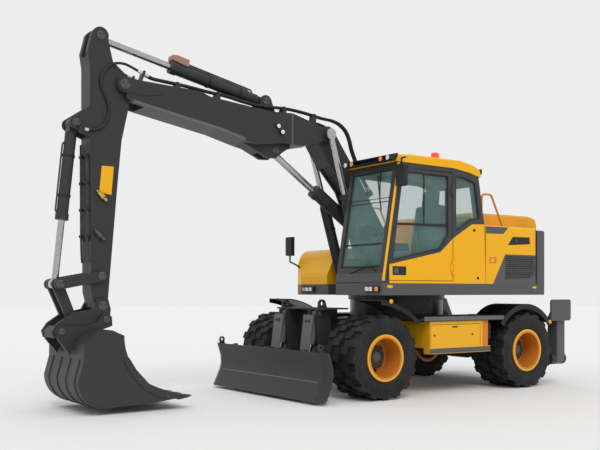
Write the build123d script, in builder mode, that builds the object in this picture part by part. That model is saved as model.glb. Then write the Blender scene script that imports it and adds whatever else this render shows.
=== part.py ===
from build123d import *
import os
from math import hypot, radians, tan

# Wheeled excavator with a two-piece boom, parked with its bucket just off the ground.
# Millimetres. +X is towards the blade, +Y is the cab side, +Z is up, and the ground is z = 0.
# Every x below is measured from the swing axis, and every outline is a side view (x, z).

# The swing axis stands this far behind the middle of the whole machine
SWING_X = -1434.0

# Clearances: seated faces, pins in their bores, and a door in its frame
SEAT_GAP = 0.3
PIN_GAP = 0.5
DOOR_GAP = 8.0

# Twin wheels
TYRE_R = 520.0
LUG_DEPTH = 28.0
TREAD_R = TYRE_R - LUG_DEPTH
BEAD_R = 254.0
FLANGE_R = BEAD_R + 36
TYRE_HALF = 135.0
BEAD_HALF = TYRE_HALF - 23
TWIN_GAP = 45.0
TYRE_OUTER_Y = 1135.0
TYRE_INNER_Y = TYRE_OUTER_Y - 2 * TYRE_HALF - TWIN_GAP
RIM_WALL = 12.0
HUB_R = 130.0
SPINDLE_R = 60.0
SPINDLE_END = TYRE_INNER_Y + 100
KINGPIN_Y = TYRE_INNER_Y - 160
LUGS = 16

# Undercarriage
WHEELBASE = 2600.0
FRONT_AXLE = WHEELBASE / 2
REAR_AXLE = -WHEELBASE / 2
AXLE_Z = TYRE_R
AXLE_TUBE_R = 95.0
HOUSING_R = 175.0
HOUSING_HALF = 150.0
FRAME_NOSE = FRONT_AXLE + 200
FRAME_TAIL = REAR_AXLE - 625
FRAME_LOW = AXLE_Z + 180
FRAME_TOP = FRAME_LOW + 280
FRAME_HALF = 300.0
BELLY = FRAME_LOW - 80
DECK_HALF = TYRE_INNER_Y - TYRE_HALF - 65
GEARBOX_REAR = -220.0
GEARBOX_FRONT = 140.0
PEDESTAL_R = 655.0
RING_WALL = 60.0
RING_R = PEDESTAL_R + 28
RING_FLANGE = 50.0
RING_TOP = FRAME_TOP + 310

# Mudguards and toolboxes
GUARD_OUT = TYRE_OUTER_Y + 105
GUARD_IN = TYRE_INNER_Y - 120
GUARD_WALL = 14.0
LIP_WALL = 12.0
WALK_TOP = FRAME_TOP + 34
BOX_TOP = WALK_TOP - 64
BOX_LOW = BOX_TOP - 343
BOX_OUT = GUARD_OUT - 20
BOX_FRONT = FRONT_AXLE - 777
BOX_REAR = REAR_AXLE + 855
STEP_DEPTH = 75.0

# Upper structure
SKIRT_TOP = RING_TOP + 150
SKIRT_WALL = 25.0
SIDE_Y = 1245.0
TAIL_R = 2100.0
TAIL_DEPTH = 575.0
TAIL_FRONT = TAIL_DEPTH - TAIL_R
TAIL_TOP = SKIRT_TOP + 760

# Widths of the boom, from the lower boom's box outwards to the cab's inner wall
LOWER_HALF = 145.0
KNEE_GAP = 5.0
BOOM_HALF = LOWER_HALF + 45
FORK_IN = LOWER_HALF - 3
ARM_HALF = FORK_IN - 10
FOOT_IN = LOWER_HALF + 20
FOOT_WALL = 40.0
LIFT_Y = FOOT_IN + 75
LIFT_EAR_HALF = 30.0
LIFT_LUG_Y = LIFT_Y + 38
LIFT_LUG_WALL = 25.0
CAB_IN = LIFT_Y + 90


def past(pin, x, z):
    """Point x forward of a pin and z above it."""
    return (pin[0] + x, pin[1] + z)


def moved(points, pin):
    """Outline drawn from a pin, moved to where that pin is."""
    return [past(pin, x, z) for x, z in points]


# Pins of the boom and its cylinders
BOOM_FOOT = (250.0, SKIRT_TOP + 360)
KNEE = past(BOOM_FOOT, 1120, 1610)
LIFT_BASE = past(BOOM_FOOT, 510, -380)
ADJUST_BASE = past(BOOM_FOOT, 320, 260)
ADJUST_EYE = past(KNEE, 784, -267)
ARM_BASE = past(KNEE, 920, 345)
BOOM_TIP = past(KNEE, 2905, 280)
ARM_TAIL = past(BOOM_TIP, 265, 530)
BUCKET_BASE = past(BOOM_TIP, 555, -480)
ARM_END = past(BOOM_TIP, 260, -2514)
LEVER_PIN = past(ARM_END, 9, 333)
LINK_TOP = past(ARM_END, 495, 242)
LINK_LOW = past(ARM_END, 335, -136)
COUPLER_PINS = (past(ARM_END, -25, -156), past(ARM_END, 495, -276))
FOOT_PIN_R = 45.0
CYLINDER_PIN_R = 35.0
TIP_PIN_R = 40.0
ARM_END_PIN_R = 38.0
COUPLER_PIN_R = 25.0

# Blade and outriggers
BLADE_HALF = 1270.0
BLADE_PIVOT = (FRONT_AXLE + 320, AXLE_Z + 80)
BLADE_BASE = past(BLADE_PIVOT, 40, 445)
BLADE_EYE = past(BLADE_PIVOT, 190, -120)
BLADE_CYL_Y = 335.0
BLADE_PIN_R = 30.0
BLADE_BASE_PIN_R = 28.0
LEG_X = FRAME_TAIL - 175
LEG_HALF = 85.0
LEG_PIVOT = (TYRE_OUTER_Y - 20, AXLE_Z - 155)
LEG_BASE = (FRAME_HALF + 50, LEG_PIVOT[1] + 435)
LEG_EYE = (LEG_PIVOT[0] - 120, LEG_PIVOT[1] + 225)
LEG_PIN_R = 32.0
LEG_BASE_PIN_R = 25.0

os.makedirs("parts", exist_ok=True)


# Planes and small shapes that every piece uses
def side(y):
    """Side-view plane at y: local x forward, local y up, extruding towards -Y."""
    return Plane(origin=(SWING_X, y, 0), x_dir=(1, 0, 0), z_dir=(0, -1, 0))


def deck(z):
    """Plan plane at height z, extruding upwards."""
    return Plane(origin=(SWING_X, 0, z))


def across(x):
    """Front-view plane at x: local x is Y, local y is Z, extruding towards +X."""
    return Plane(origin=(SWING_X + x, 0, 0), x_dir=(0, 1, 0), z_dir=(1, 0, 0))


def outline(points, mode=Mode.ADD):
    """Face with straight edges in the sketch that is open."""
    Polygon(*points, align=None, mode=mode)


def plate(points, y_low, y_high, mode=Mode.ADD, bend=0.0):
    """Side-view outline extruded between two y values, its corners rounded where a bend is given."""
    with BuildSketch(side(y_high)) as face:
        with BuildLine():
            FilletPolyline(*points, radius=bend, close=True) if bend else Polyline(*points, close=True)
        make_face()
    extrude(face.sketch, amount=y_high - y_low, mode=mode)


def lug(rounds, corners, y_low, y_high, mode=Mode.ADD):
    """Plate wrapped round circles, each (centre, radius), and round the corners of what it stands on."""
    with BuildSketch(side(y_high)) as face:
        for centre, radius in rounds:
            with Locations(centre):
                Circle(radius)
        if corners:
            with BuildLine():
                Polyline(*corners)
        make_hull()
    extrude(face.sketch, amount=y_high - y_low, mode=mode)


def slab(points, z_low, z_high, mode=Mode.ADD):
    """Plan outline extruded between two heights."""
    with BuildSketch(deck(z_low)) as face:
        outline(points)
    extrude(face.sketch, amount=z_high - z_low, mode=mode)


def disc(centre, radius, y_low, y_high, mode=Mode.ADD):
    """Round pin or boss across the machine."""
    with BuildSketch(side(y_high)) as face:
        with Locations(centre):
            Circle(radius)
    extrude(face.sketch, amount=y_high - y_low, mode=mode)


def block(x_low, x_high, y_low, y_high, z_low, z_high, mode=Mode.ADD):
    """Box between six planes."""
    with Locations((SWING_X + (x_low + x_high) / 2, (y_low + y_high) / 2, (z_low + z_high) / 2)):
        Box(x_high - x_low, y_high - y_low, z_high - z_low, mode=mode)


def span(hand, near, far):
    """The y values of a stretch on the left (1) or right (-1) side, lowest first."""
    return sorted((hand * near, hand * far))


def both_sides():
    """Adds the mirror image on the machine's other side."""
    mirror(about=Plane.XZ)


def keep(part, name):
    """Labels a finished piece and writes it."""
    part.part.label = name
    export_step(part.part, f"parts/{name}.step")


def aim(base, eye, y):
    """Plane at a cylinder's base pin whose normal points at its rod's eye."""
    direction = (eye[0] - base[0], 0, eye[1] - base[1])
    return Plane(origin=(SWING_X + base[0], y, base[1]), x_dir=(0, 1, 0), z_dir=direction)


def shaft(plane, start, end, radius, mode=Mode.ADD):
    """Round bar along a plane's normal."""
    with BuildSketch(plane.offset(start)) as face:
        Circle(radius)
    extrude(face.sketch, amount=end - start, mode=mode)


def barrel(base, eye, y, start, length, radius, bore, ear, ear_half, pin):
    """Hydraulic barrel: pinned ear and neck, tube, gland collar, and the bore that the rod runs in."""
    axis = aim(base, eye, y)
    with BuildSketch(axis) as neck:
        Rectangle(2 * ear_half, 1.5 * ear)
    extrude(neck.sketch, amount=start + 10)
    shaft(axis, start, length, radius)
    shaft(axis, length - radius * 1.1, length, radius * 1.14)
    disc(base, ear, y - ear_half, y + ear_half)
    disc(base, pin + PIN_GAP, y - ear_half, y + ear_half, mode=Mode.SUBTRACT)
    shaft(axis, start + 20, length, bore + PIN_GAP, mode=Mode.SUBTRACT)


def piston(base, eye, y, start, radius, ear, ear_half):
    """Piston rod from its end inside the barrel to its eye, with the eye's pin in place."""
    axis = aim(base, eye, y)
    reach = hypot(eye[0] - base[0], eye[1] - base[1])
    shaft(axis, start, reach, radius)
    disc(eye, ear, y - ear_half, y + ear_half)


def pipe(points, radius, bend):
    """Round bar through points (x, y, z), with the corners bent; bend is one radius or one per corner."""
    with BuildLine() as path:
        FilletPolyline(*[(SWING_X + x, y, z) for x, y, z in points], radius=bend)
    with BuildSketch(Plane(origin=path.line @ 0, z_dir=path.line % 0)) as face:
        Circle(radius)
    sweep(face.sketch, path=path.line)


# Frame of the undercarriage: a box beam, a wide deck under the slew ring, a cross beam, and the gearbox
with BuildPart() as chassis_frame:
    plate(
        [(FRAME_TAIL, FRAME_TOP), (FRAME_TAIL, FRAME_LOW), (REAR_AXLE + 300, FRAME_LOW),
         (REAR_AXLE + 500, BELLY), (FRONT_AXLE - 500, BELLY), (FRONT_AXLE - 300, FRAME_LOW),
         (FRAME_NOSE, FRAME_LOW), (FRAME_NOSE, FRAME_TOP - 120), (FRAME_NOSE - 80, FRAME_TOP)],
        -FRAME_HALF, FRAME_HALF,
    )
    slab([(-560, -DECK_HALF), (560, -DECK_HALF), (640, -FRAME_HALF), (640, FRAME_HALF), (560, DECK_HALF),
          (-560, DECK_HALF), (-740, DECK_HALF - 120), (-740, 120 - DECK_HALF)], BELLY + 20, FRAME_TOP)
    block(REAR_AXLE + 560, REAR_AXLE + 700, 120 - BOX_OUT, BOX_OUT - 120, FRAME_LOW - 10, FRAME_TOP - 70)
    plate([(GEARBOX_REAR, BELLY), (GEARBOX_REAR, AXLE_Z - 40), (GEARBOX_REAR + 70, AXLE_Z - 90),
           (GEARBOX_FRONT - 70, AXLE_Z - 90), (GEARBOX_FRONT, AXLE_Z - 40), (GEARBOX_FRONT, BELLY)], -140,
          140)
keep(chassis_frame, "chassis_frame")

# Slew pedestal with its ring flange and the bearing's upper race
with BuildPart() as slew_ring:
    for radius, low, high in ((PEDESTAL_R, FRAME_TOP + SEAT_GAP, RING_TOP - RING_FLANGE),
                              (RING_R, RING_TOP - RING_FLANGE, RING_TOP)):
        with BuildSketch(deck(low)):
            Circle(radius)
            Circle(PEDESTAL_R - RING_WALL, mode=Mode.SUBTRACT)
        extrude(amount=high - low)
keep(slew_ring, "slew_ring")


# Axles: a tube with a centre housing, the pads that carry the frame, and the shaft from the gearbox
def axle_body(x, half, gearbox_end):
    """Axle tube, differential housing, spring pads and propeller shaft."""
    axle = Plane(origin=(SWING_X + x, -half, AXLE_Z), x_dir=(1, 0, 0), z_dir=(0, 1, 0))
    shaft(axle, 0, 2 * half, AXLE_TUBE_R)
    shaft(axle, half - HOUSING_HALF, half + HOUSING_HALF, HOUSING_R)
    for y in (-210, 210):
        block(x - 110, x + 110, y - 30, y + 30, AXLE_Z, FRAME_LOW - SEAT_GAP)
    along = Plane(origin=(SWING_X + gearbox_end, 0, AXLE_Z), z_dir=(x - gearbox_end, 0, 0))
    shaft(along, SEAT_GAP, abs(x - gearbox_end) - HOUSING_R / 2, 36)
    shaft(along, SEAT_GAP, 24, 68)
    shaft(along, abs(x - gearbox_end) - HOUSING_R - 30, abs(x - gearbox_end) - HOUSING_R / 2, 80)


FORK_HALF = 70.0
FORK_REACH = 160.0
FORK_INSIDE = 115.0
AXLE_END = KINGPIN_Y - 75
with BuildPart() as front_axle:
    axle_body(FRONT_AXLE, AXLE_END, GEARBOX_FRONT)
    for hand in (1, -1):
        low, high = span(hand, AXLE_END - 25, KINGPIN_Y + 65)
        for z in (AXLE_Z - FORK_REACH, AXLE_Z + FORK_INSIDE):
            block(FRONT_AXLE - FORK_HALF, FRONT_AXLE + FORK_HALF, low, high, z, z + FORK_REACH - FORK_INSIDE)
        low, high = span(hand, AXLE_END - 45, AXLE_END)
        block(FRONT_AXLE - FORK_HALF, FRONT_AXLE + FORK_HALF, low, high, AXLE_Z - FORK_REACH,
              AXLE_Z + FORK_REACH)
keep(front_axle, "front_axle")

with BuildPart() as rear_axle:
    axle_body(REAR_AXLE, GUARD_IN, GEARBOX_REAR)
    disc((REAR_AXLE, AXLE_Z), SPINDLE_R, -SPINDLE_END, SPINDLE_END)
keep(rear_axle, "rear_axle")

# Steering knuckles: a kingpin post between the axle's lugs, and the wheel's spindle
for name, hand in (("left", 1), ("right", -1)):
    with BuildPart() as knuckle:
        with BuildSketch(Plane(origin=(SWING_X + FRONT_AXLE, hand * KINGPIN_Y,
                                       AXLE_Z - FORK_INSIDE + SEAT_GAP))):
            Circle(60)
        extrude(amount=2 * (FORK_INSIDE - SEAT_GAP))
        disc((FRONT_AXLE, AXLE_Z), SPINDLE_R, *span(hand, KINGPIN_Y, SPINDLE_END))
    keep(knuckle, f"knuckle_{name}")


# Twin wheels: both rims, the disc between them and the hub are one piece
def ring_profile(points, hand):
    """Half section (y, radius) of a turned piece on the wheel's axis."""
    outline([(hand * y, AXLE_Z + r) for y, r in points])


WHEELS = (("front_left", FRONT_AXLE, 1), ("front_right", FRONT_AXLE, -1),
          ("rear_left", REAR_AXLE, 1), ("rear_right", REAR_AXLE, -1))
RIM_HALF = BEAD_HALF + SEAT_GAP
FACE_Y = TYRE_OUTER_Y - RIM_HALF - RIM_WALL
SIDEWALL_R = (FLANGE_R + TREAD_R) / 2
LUG_END = TYRE_HALF - 12
LUG_WIDTH = 92.0
for name, x, hand in WHEELS:
    axis = Axis((SWING_X + x, 0, AXLE_Z), (0, 1, 0))
    with BuildPart() as rims:
        with BuildSketch(across(x)):
            for centre in (TYRE_INNER_Y, TYRE_OUTER_Y):
                low = centre - RIM_HALF
                high = centre + RIM_HALF
                ring_profile([(low - RIM_WALL, BEAD_R - RIM_WALL), (high + RIM_WALL, BEAD_R - RIM_WALL),
                              (high + RIM_WALL, FLANGE_R), (high, FLANGE_R), (high, BEAD_R),
                              (low, BEAD_R), (low, FLANGE_R), (low - RIM_WALL, FLANGE_R)], hand)
            ring_profile([(FACE_Y - 60, HUB_R), (FACE_Y - 40, HUB_R), (FACE_Y - 22, BEAD_R),
                          (FACE_Y - 42, BEAD_R)],
                         hand)
            ring_profile([(TYRE_INNER_Y + BEAD_HALF, BEAD_R - RIM_WALL), (FACE_Y + 10, BEAD_R - RIM_WALL),
                          (FACE_Y + 10, BEAD_R), (TYRE_INNER_Y + BEAD_HALF, BEAD_R)], hand)
            ring_profile([(TYRE_INNER_Y - 60, 0), (FACE_Y + 50, 0), (FACE_Y + 50, HUB_R - 30),
                          (FACE_Y + 30, HUB_R), (FACE_Y - 80, HUB_R), (TYRE_INNER_Y - 60, 105)], hand)
        revolve(axis=axis)
        disc((x, AXLE_Z), SPINDLE_R + PIN_GAP, *span(hand, GUARD_IN, SPINDLE_END + 2), mode=Mode.SUBTRACT)
    keep(rims, f"rims_{name}")

    with BuildPart() as tyres:
        for centre in (TYRE_INNER_Y, TYRE_OUTER_Y):
            with BuildSketch(across(x)):
                section = [(BEAD_HALF, BEAD_R + SEAT_GAP), (BEAD_HALF, FLANGE_R + 4), (TYRE_HALF, SIDEWALL_R),
                           (TYRE_HALF - 5, TREAD_R - 42), (LUG_END - 6, TREAD_R - 10)]
                mirrored = [(-y, r) for y, r in reversed(section)]
                ring_profile([(centre + y, r) for y, r in section + mirrored], hand)
            revolve(axis=axis)
            for turn, far in ((0, LUG_END), (180 / LUGS, -LUG_END)):
                low, high = span(hand, centre, centre + far)
                with BuildSketch(side(high)):
                    with Locations((x, AXLE_Z)):
                        Circle(TREAD_R)
                        with PolarLocations(TREAD_R, LUGS, start_angle=turn):
                            Rectangle(2 * LUG_DEPTH, LUG_WIDTH)
                        Circle(TREAD_R - 50, mode=Mode.SUBTRACT)
                extrude(amount=high - low)
    keep(tyres, f"tyres_{name}")

# Toolboxes with an end post and the step bar under each
with BuildPart() as toolboxes:
    plate([(BOX_REAR, BOX_LOW), (BOX_FRONT, BOX_LOW), (BOX_FRONT, BOX_TOP), (BOX_REAR, BOX_TOP)],
          DECK_HALF + SEAT_GAP, BOX_OUT)
    block(BOX_REAR - 112, BOX_REAR, BOX_OUT - 60, BOX_OUT - 12, BOX_LOW, BOX_TOP)
    block(BOX_REAR - 155, BOX_FRONT + 5, BOX_OUT - 110, BOX_OUT, BOX_LOW - STEP_DEPTH, BOX_LOW)
    both_sides()
keep(toolboxes, "toolboxes")

# Mudguards: front sheet with its stay, walkway and rear arch in one run on each side, with a rolled outer lip
GUARD_FRONT = FRONT_AXLE + 50
WALK_FRONT = FRONT_AXLE - 660
WALK_REAR = REAR_AXLE + 450
ARCH_R = TYRE_R + 125
ARCH_CUT = [(0, 0), (800, 600), (800, 780), (-800, 780), (-800, 590)]


def front_guard(depth, y_low, y_high):
    """Sheet that rises from the walkway and curves forward over the wheel."""
    foot = (WALK_FRONT + 95, AXLE_Z + 455)
    middle = (FRONT_AXLE - 251, AXLE_Z + 638)
    tip = (GUARD_FRONT, AXLE_Z + 715)
    with BuildSketch(side(y_high)) as face:
        with BuildLine():
            ThreePointArc(foot, middle, tip)
            Line(tip, past(tip, 0, -depth))
            ThreePointArc(past(tip, 0, -depth), past(middle, 0, -depth), past(foot, 0, -depth))
            Line(past(foot, 0, -depth), foot)
        make_face()
    extrude(face.sketch, amount=y_high - y_low)


with BuildPart() as fenders:
    front_guard(GUARD_WALL, GUARD_IN, GUARD_OUT)
    front_guard(62, GUARD_OUT - LIP_WALL, GUARD_OUT)
    plate([(WALK_FRONT - 60, WALK_TOP), (WALK_FRONT, WALK_TOP - 10), (WALK_FRONT + 95, AXLE_Z + 455),
           (WALK_FRONT + 95, AXLE_Z + 455 - GUARD_WALL), (WALK_FRONT - 60, WALK_TOP - 40)],
          GUARD_IN, GUARD_OUT)
    block(WALK_REAR, WALK_FRONT, DECK_HALF + 60, GUARD_OUT, BOX_TOP + SEAT_GAP, WALK_TOP)
    for inner, y_low in ((ARCH_R - GUARD_WALL, GUARD_IN), (ARCH_R - 70, GUARD_OUT - LIP_WALL)):
        with BuildSketch(side(GUARD_OUT)):
            with Locations((REAR_AXLE, AXLE_Z)):
                Circle(ARCH_R)
                Circle(inner, mode=Mode.SUBTRACT)
            outline(moved(ARCH_CUT, (REAR_AXLE, AXLE_Z)), mode=Mode.INTERSECT)
        extrude(amount=GUARD_OUT - y_low)
    both_sides()
keep(fenders, "fenders")

# Front bracket for the blade: back plate, clevis plates, and a top plate with eye lugs
BRACKET_BACK = FRAME_NOSE + SEAT_GAP
BRACKET_FACE = FRAME_NOSE + 30
BRACKET_TOP = FRAME_TOP + 125
BRACKET_WALL = 20.0
TOW_EYE = past(BLADE_PIVOT, 20, 582)
TOW_EYE_R = 28.0
CLEVIS_WALL = 25.0
PUSH_HALF = 40.0
CLEVIS = (BLADE_CYL_Y - PUSH_HALF - 20 - CLEVIS_WALL, BLADE_CYL_Y + PUSH_HALF + 20)
with BuildPart() as blade_bracket:
    block(BRACKET_BACK, BRACKET_FACE, -420, 420, AXLE_Z - 40, BRACKET_TOP)
    for y_low in CLEVIS:
        plate([(BRACKET_FACE, AXLE_Z - 40), past(BLADE_PIVOT, 70, -100), past(BLADE_PIVOT, 105, 100),
               past(BLADE_BASE, 80, -45), (BLADE_BASE[0] + 80, BRACKET_TOP), (BRACKET_FACE, BRACKET_TOP)],
              y_low, y_low + CLEVIS_WALL)
    disc(BLADE_PIVOT, BLADE_PIN_R, CLEVIS[0], CLEVIS[1] + CLEVIS_WALL)
    disc(BLADE_BASE, BLADE_BASE_PIN_R, CLEVIS[0], CLEVIS[1] + CLEVIS_WALL)
    block(FRONT_AXLE, BLADE_BASE[0] + 40, 0, 530, BRACKET_TOP, BRACKET_TOP + BRACKET_WALL)
    block(FRONT_AXLE, BRACKET_BACK, 0, FRAME_HALF, FRAME_TOP + SEAT_GAP, BRACKET_TOP)
    lug([(TOW_EYE, 54)], [(TOW_EYE[0] - 80, BRACKET_TOP), (TOW_EYE[0] + 60, BRACKET_TOP)], 390, 425)
    disc(TOW_EYE, TOW_EYE_R, 390, 425, mode=Mode.SUBTRACT)
    both_sides()
keep(blade_bracket, "blade_bracket")

# Dozer blade: folded mouldboard with swept wings, ribs, a box beam behind, push arms and lifting eyes
BLADE_WALL = 36.0
WING = 110.0
WING_SWEEP = 0.42
RIB = 20.0
MOULDBOARD = moved([(705, -564), (602, -345), (584, -270), (588, -160), (644, 17)], BLADE_PIVOT)
RIB_BACK = moved([(590, 30), (548, 30), (480, -150), (452, -254), (448, -413), (511, -564), (664, -564)],
                 BLADE_PIVOT)
BEAM_BACK = moved([(560, -240), (454, -250), (450, -405), (590, -395)], BLADE_PIVOT)
PUSH_ARM = moved([(-55, -10), (30, -65), (140, -270), (540, -350), (540, -120), (340, -185), (145, -185),
                  (70, 40), (0, 62)], BLADE_PIVOT)
LIFT_EYE = past(BLADE_PIVOT, 594, 72)
LIFT_EYE_R = 20.0
LIFT_EYE_Y = BLADE_HALF - 130
SKIN = MOULDBOARD + [past(at, -BLADE_WALL, 0) for at in reversed(MOULDBOARD)]
with BuildPart() as blade:
    plate(SKIN, 0, BLADE_HALF - WING)
    with BuildSketch(side(BLADE_HALF - WING)) as wing:
        outline(SKIN)
    extrude(wing.sketch, amount=WING * hypot(1, WING_SWEEP), dir=(-WING_SWEEP, 1, 0))
    for y in (RIB / 2, BLADE_CYL_Y - 80, BLADE_CYL_Y + 80, (BLADE_CYL_Y + BLADE_HALF) / 2,
              BLADE_HALF - WING - RIB / 2):
        plate(RIB_BACK + [past(at, -1, 0) for at in MOULDBOARD], y - RIB / 2, y + RIB / 2)
    plate(BEAM_BACK, 0, BLADE_HALF - WING)
    plate(PUSH_ARM, BLADE_CYL_Y - PUSH_HALF, BLADE_CYL_Y + PUSH_HALF)
    disc(BLADE_PIVOT, 62, BLADE_CYL_Y - PUSH_HALF, BLADE_CYL_Y + PUSH_HALF)
    disc(BLADE_PIVOT, BLADE_PIN_R + PIN_GAP, BLADE_CYL_Y - PUSH_HALF, BLADE_CYL_Y + PUSH_HALF,
         mode=Mode.SUBTRACT)
    for y in (BLADE_CYL_Y - 45, BLADE_CYL_Y + 27):
        lug([(BLADE_EYE, 55)], moved([(135, -200), (275, -200)], BLADE_PIVOT), y, y + 18)
    lug([(LIFT_EYE, 40)], moved([(570, 0), (625, 0)], BLADE_PIVOT), LIFT_EYE_Y - 11, LIFT_EYE_Y + 11)
    disc(LIFT_EYE, LIFT_EYE_R, LIFT_EYE_Y - 11, LIFT_EYE_Y + 11, mode=Mode.SUBTRACT)
    both_sides()
keep(blade, "blade")

# Blade cylinders, each with its guard plate standing off in front
BLADE_BARREL = 400.0
BLADE_INSIDE = 150.0
BLADE_ROD_R = 26.0
with BuildPart() as blade_barrels:
    barrel(BLADE_BASE, BLADE_EYE, BLADE_CYL_Y, 45, BLADE_BARREL, 46, BLADE_ROD_R, 50, 52, BLADE_BASE_PIN_R)
    plate(moved([(130, -5), (142, -5), (202, -460), (190, -460)], BLADE_BASE), BLADE_CYL_Y - 100,
          BLADE_CYL_Y + 100)
    plate(moved([(70, -145), (160, -145), (160, -195), (80, -195)], BLADE_BASE), BLADE_CYL_Y - 20,
          BLADE_CYL_Y + 20)
    shaft(aim(BLADE_BASE, BLADE_EYE, BLADE_CYL_Y), 65, BLADE_BARREL, BLADE_ROD_R + PIN_GAP,
          mode=Mode.SUBTRACT)
    both_sides()
keep(blade_barrels, "blade_barrels")

with BuildPart() as blade_rods:
    piston(BLADE_BASE, BLADE_EYE, BLADE_CYL_Y, BLADE_BARREL - BLADE_INSIDE, BLADE_ROD_R, 42, 21)
    both_sides()
keep(blade_rods, "blade_rods")


# Rear outriggers: a carrier on the frame's tail, two legs that fold up with their pads outwards
def front_view(points, x_low, x_high, mode=Mode.ADD):
    """Front-view outline (y, z) extruded between two x values."""
    with BuildSketch(across(x_low)) as face:
        with BuildLine():
            Polyline(*points, close=True)
        make_face()
    extrude(face.sketch, amount=x_high - x_low, mode=mode)


def long_pin(centre, radius, x_low, x_high, mode=Mode.ADD):
    """Round pin or boss along the machine."""
    with BuildSketch(across(x_low)) as face:
        with Locations(centre):
            Circle(radius)
    extrude(face.sketch, amount=x_high - x_low, mode=mode)


CARRIER_FRONT = FRAME_TAIL - SEAT_GAP
CARRIER_BACK = LEG_X + LEG_HALF + 12
CARRIER_LOW = LEG_PIVOT[1] - 65
LUG_BACK = LEG_X - LEG_HALF - 12
LUG_WALL = 28.0
LUG_ROUND = 85.0
LEG_KNEE = LEG_PIVOT[0] - 255
with BuildPart() as outrigger_carrier:
    front_view([(0, CARRIER_LOW), past(LEG_PIVOT, 0, -LUG_ROUND), past(LEG_PIVOT, 0, LUG_ROUND),
                (LEG_BASE[0] + 170, CARRIER_LOW + 260), (LEG_BASE[0] + 80, FRAME_TOP), (0, FRAME_TOP)],
               CARRIER_BACK, CARRIER_FRONT)
    front_view([(LEG_KNEE, CARRIER_LOW), past(LEG_PIVOT, 0, -LUG_ROUND), past(LEG_PIVOT, 0, LUG_ROUND),
                (LEG_KNEE, CARRIER_LOW + 200)], LUG_BACK - LUG_WALL, LUG_BACK)
    for x_low, x_high in ((CARRIER_BACK, CARRIER_FRONT), (LUG_BACK - LUG_WALL, LUG_BACK)):
        long_pin(LEG_PIVOT, LUG_ROUND, x_low, x_high)
    block(LUG_BACK, CARRIER_BACK, LEG_KNEE, LEG_KNEE + 70, CARRIER_LOW, CARRIER_LOW + 200)
    long_pin(LEG_PIVOT, LEG_PIN_R, LUG_BACK, CARRIER_BACK)
    block(LEG_X - 75, CARRIER_BACK, 180, LEG_BASE[0] - 70, LEG_BASE[1] - 120, LEG_BASE[1] + 100)
    for x_low in (LEG_X - 75, LEG_X + 53):
        front_view(moved([(-70, -60), (0, -55), (55, 0), (0, 55), (-70, 60)], LEG_BASE), x_low, x_low + 22)
    long_pin(LEG_BASE, LEG_BASE_PIN_R, LEG_X - 75, LEG_X + 75)
    both_sides()
keep(outrigger_carrier, "outrigger_carrier")

LEG_OUTLINE = moved([(-80, -30), (-35, -80), (35, -80), (85, -30), (85, 565), (110, 565), (110, 835),
                     (45, 835), (-80, 595)], LEG_PIVOT)
LEG_EAR = moved([(45, -70), (5, -55), (-45, 0), (5, 55), (45, 90)], LEG_EYE)
LEG_FACE = LEG_PIVOT[0] + 110
PAD_WALL = 25.0
PAD_HALF = 217.0
PAD_LOW = LEG_PIVOT[1] + 551
PAD_TOP = LEG_PIVOT[1] + 857


def leg_cylinder_plane(hand):
    """Plane at an outrigger cylinder's base pin, looking along it to the leg."""
    direction = (0, hand * (LEG_EYE[0] - LEG_BASE[0]), LEG_EYE[1] - LEG_BASE[1])
    return Plane(origin=(SWING_X + LEG_X, hand * LEG_BASE[0], LEG_BASE[1]), x_dir=(1, 0, 0), z_dir=direction)


LEG_REACH = hypot(LEG_EYE[0] - LEG_BASE[0], LEG_EYE[1] - LEG_BASE[1])
LEG_BARREL = 600.0
LEG_INSIDE = 480.0
LEG_ROD_R = 25.0
for name, hand in (("left", 1), ("right", -1)):
    pivot = (hand * LEG_PIVOT[0], LEG_PIVOT[1])
    eye = (hand * LEG_EYE[0], LEG_EYE[1])
    base = (hand * LEG_BASE[0], LEG_BASE[1])
    with BuildPart() as outrigger:
        front_view([(hand * y, z) for y, z in LEG_OUTLINE], LEG_X - LEG_HALF, LEG_X + LEG_HALF)
        block(LEG_X + 55 - PAD_HALF, LEG_X + 55 + PAD_HALF, *span(hand, LEG_FACE, LEG_FACE + PAD_WALL),
              PAD_LOW, PAD_TOP)
        fillet(outrigger.edges().filter_by(Axis.Y).group_by(Axis.X)[0], 40)
        fillet(outrigger.edges().filter_by(Axis.Y).group_by(Axis.X)[-1], 40)
        for x_low in (LEG_X - 45, LEG_X + 27):
            front_view([(hand * y, z) for y, z in LEG_EAR], x_low, x_low + 18)
        block(LEG_X - 27, LEG_X + 27, *span(hand, LEG_PIVOT[0] - 85, LEG_PIVOT[0] + 10), LEG_EYE[1] - 110,
              LEG_EYE[1] + 130, mode=Mode.SUBTRACT)
        long_pin(pivot, LEG_PIN_R + PIN_GAP, LEG_X - LEG_HALF, LEG_X + LEG_HALF, mode=Mode.SUBTRACT)
    keep(outrigger, f"outrigger_{name}")

    axis = leg_cylinder_plane(hand)
    with BuildPart() as leg_barrel:
        shaft(axis, 30, LEG_BARREL, 44)
        long_pin(base, 46, LEG_X - 46, LEG_X + 46)
        long_pin(base, LEG_BASE_PIN_R + PIN_GAP, LEG_X - 46, LEG_X + 46, mode=Mode.SUBTRACT)
        shaft(axis, 56, LEG_BARREL, LEG_ROD_R + PIN_GAP, mode=Mode.SUBTRACT)
    keep(leg_barrel, f"leg_barrel_{name}")

    with BuildPart() as leg_rod:
        shaft(axis, LEG_BARREL - LEG_INSIDE, LEG_REACH, LEG_ROD_R)
        long_pin(eye, 36, LEG_X - 21, LEG_X + 21)
    keep(leg_rod, f"leg_rod_{name}")

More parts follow.
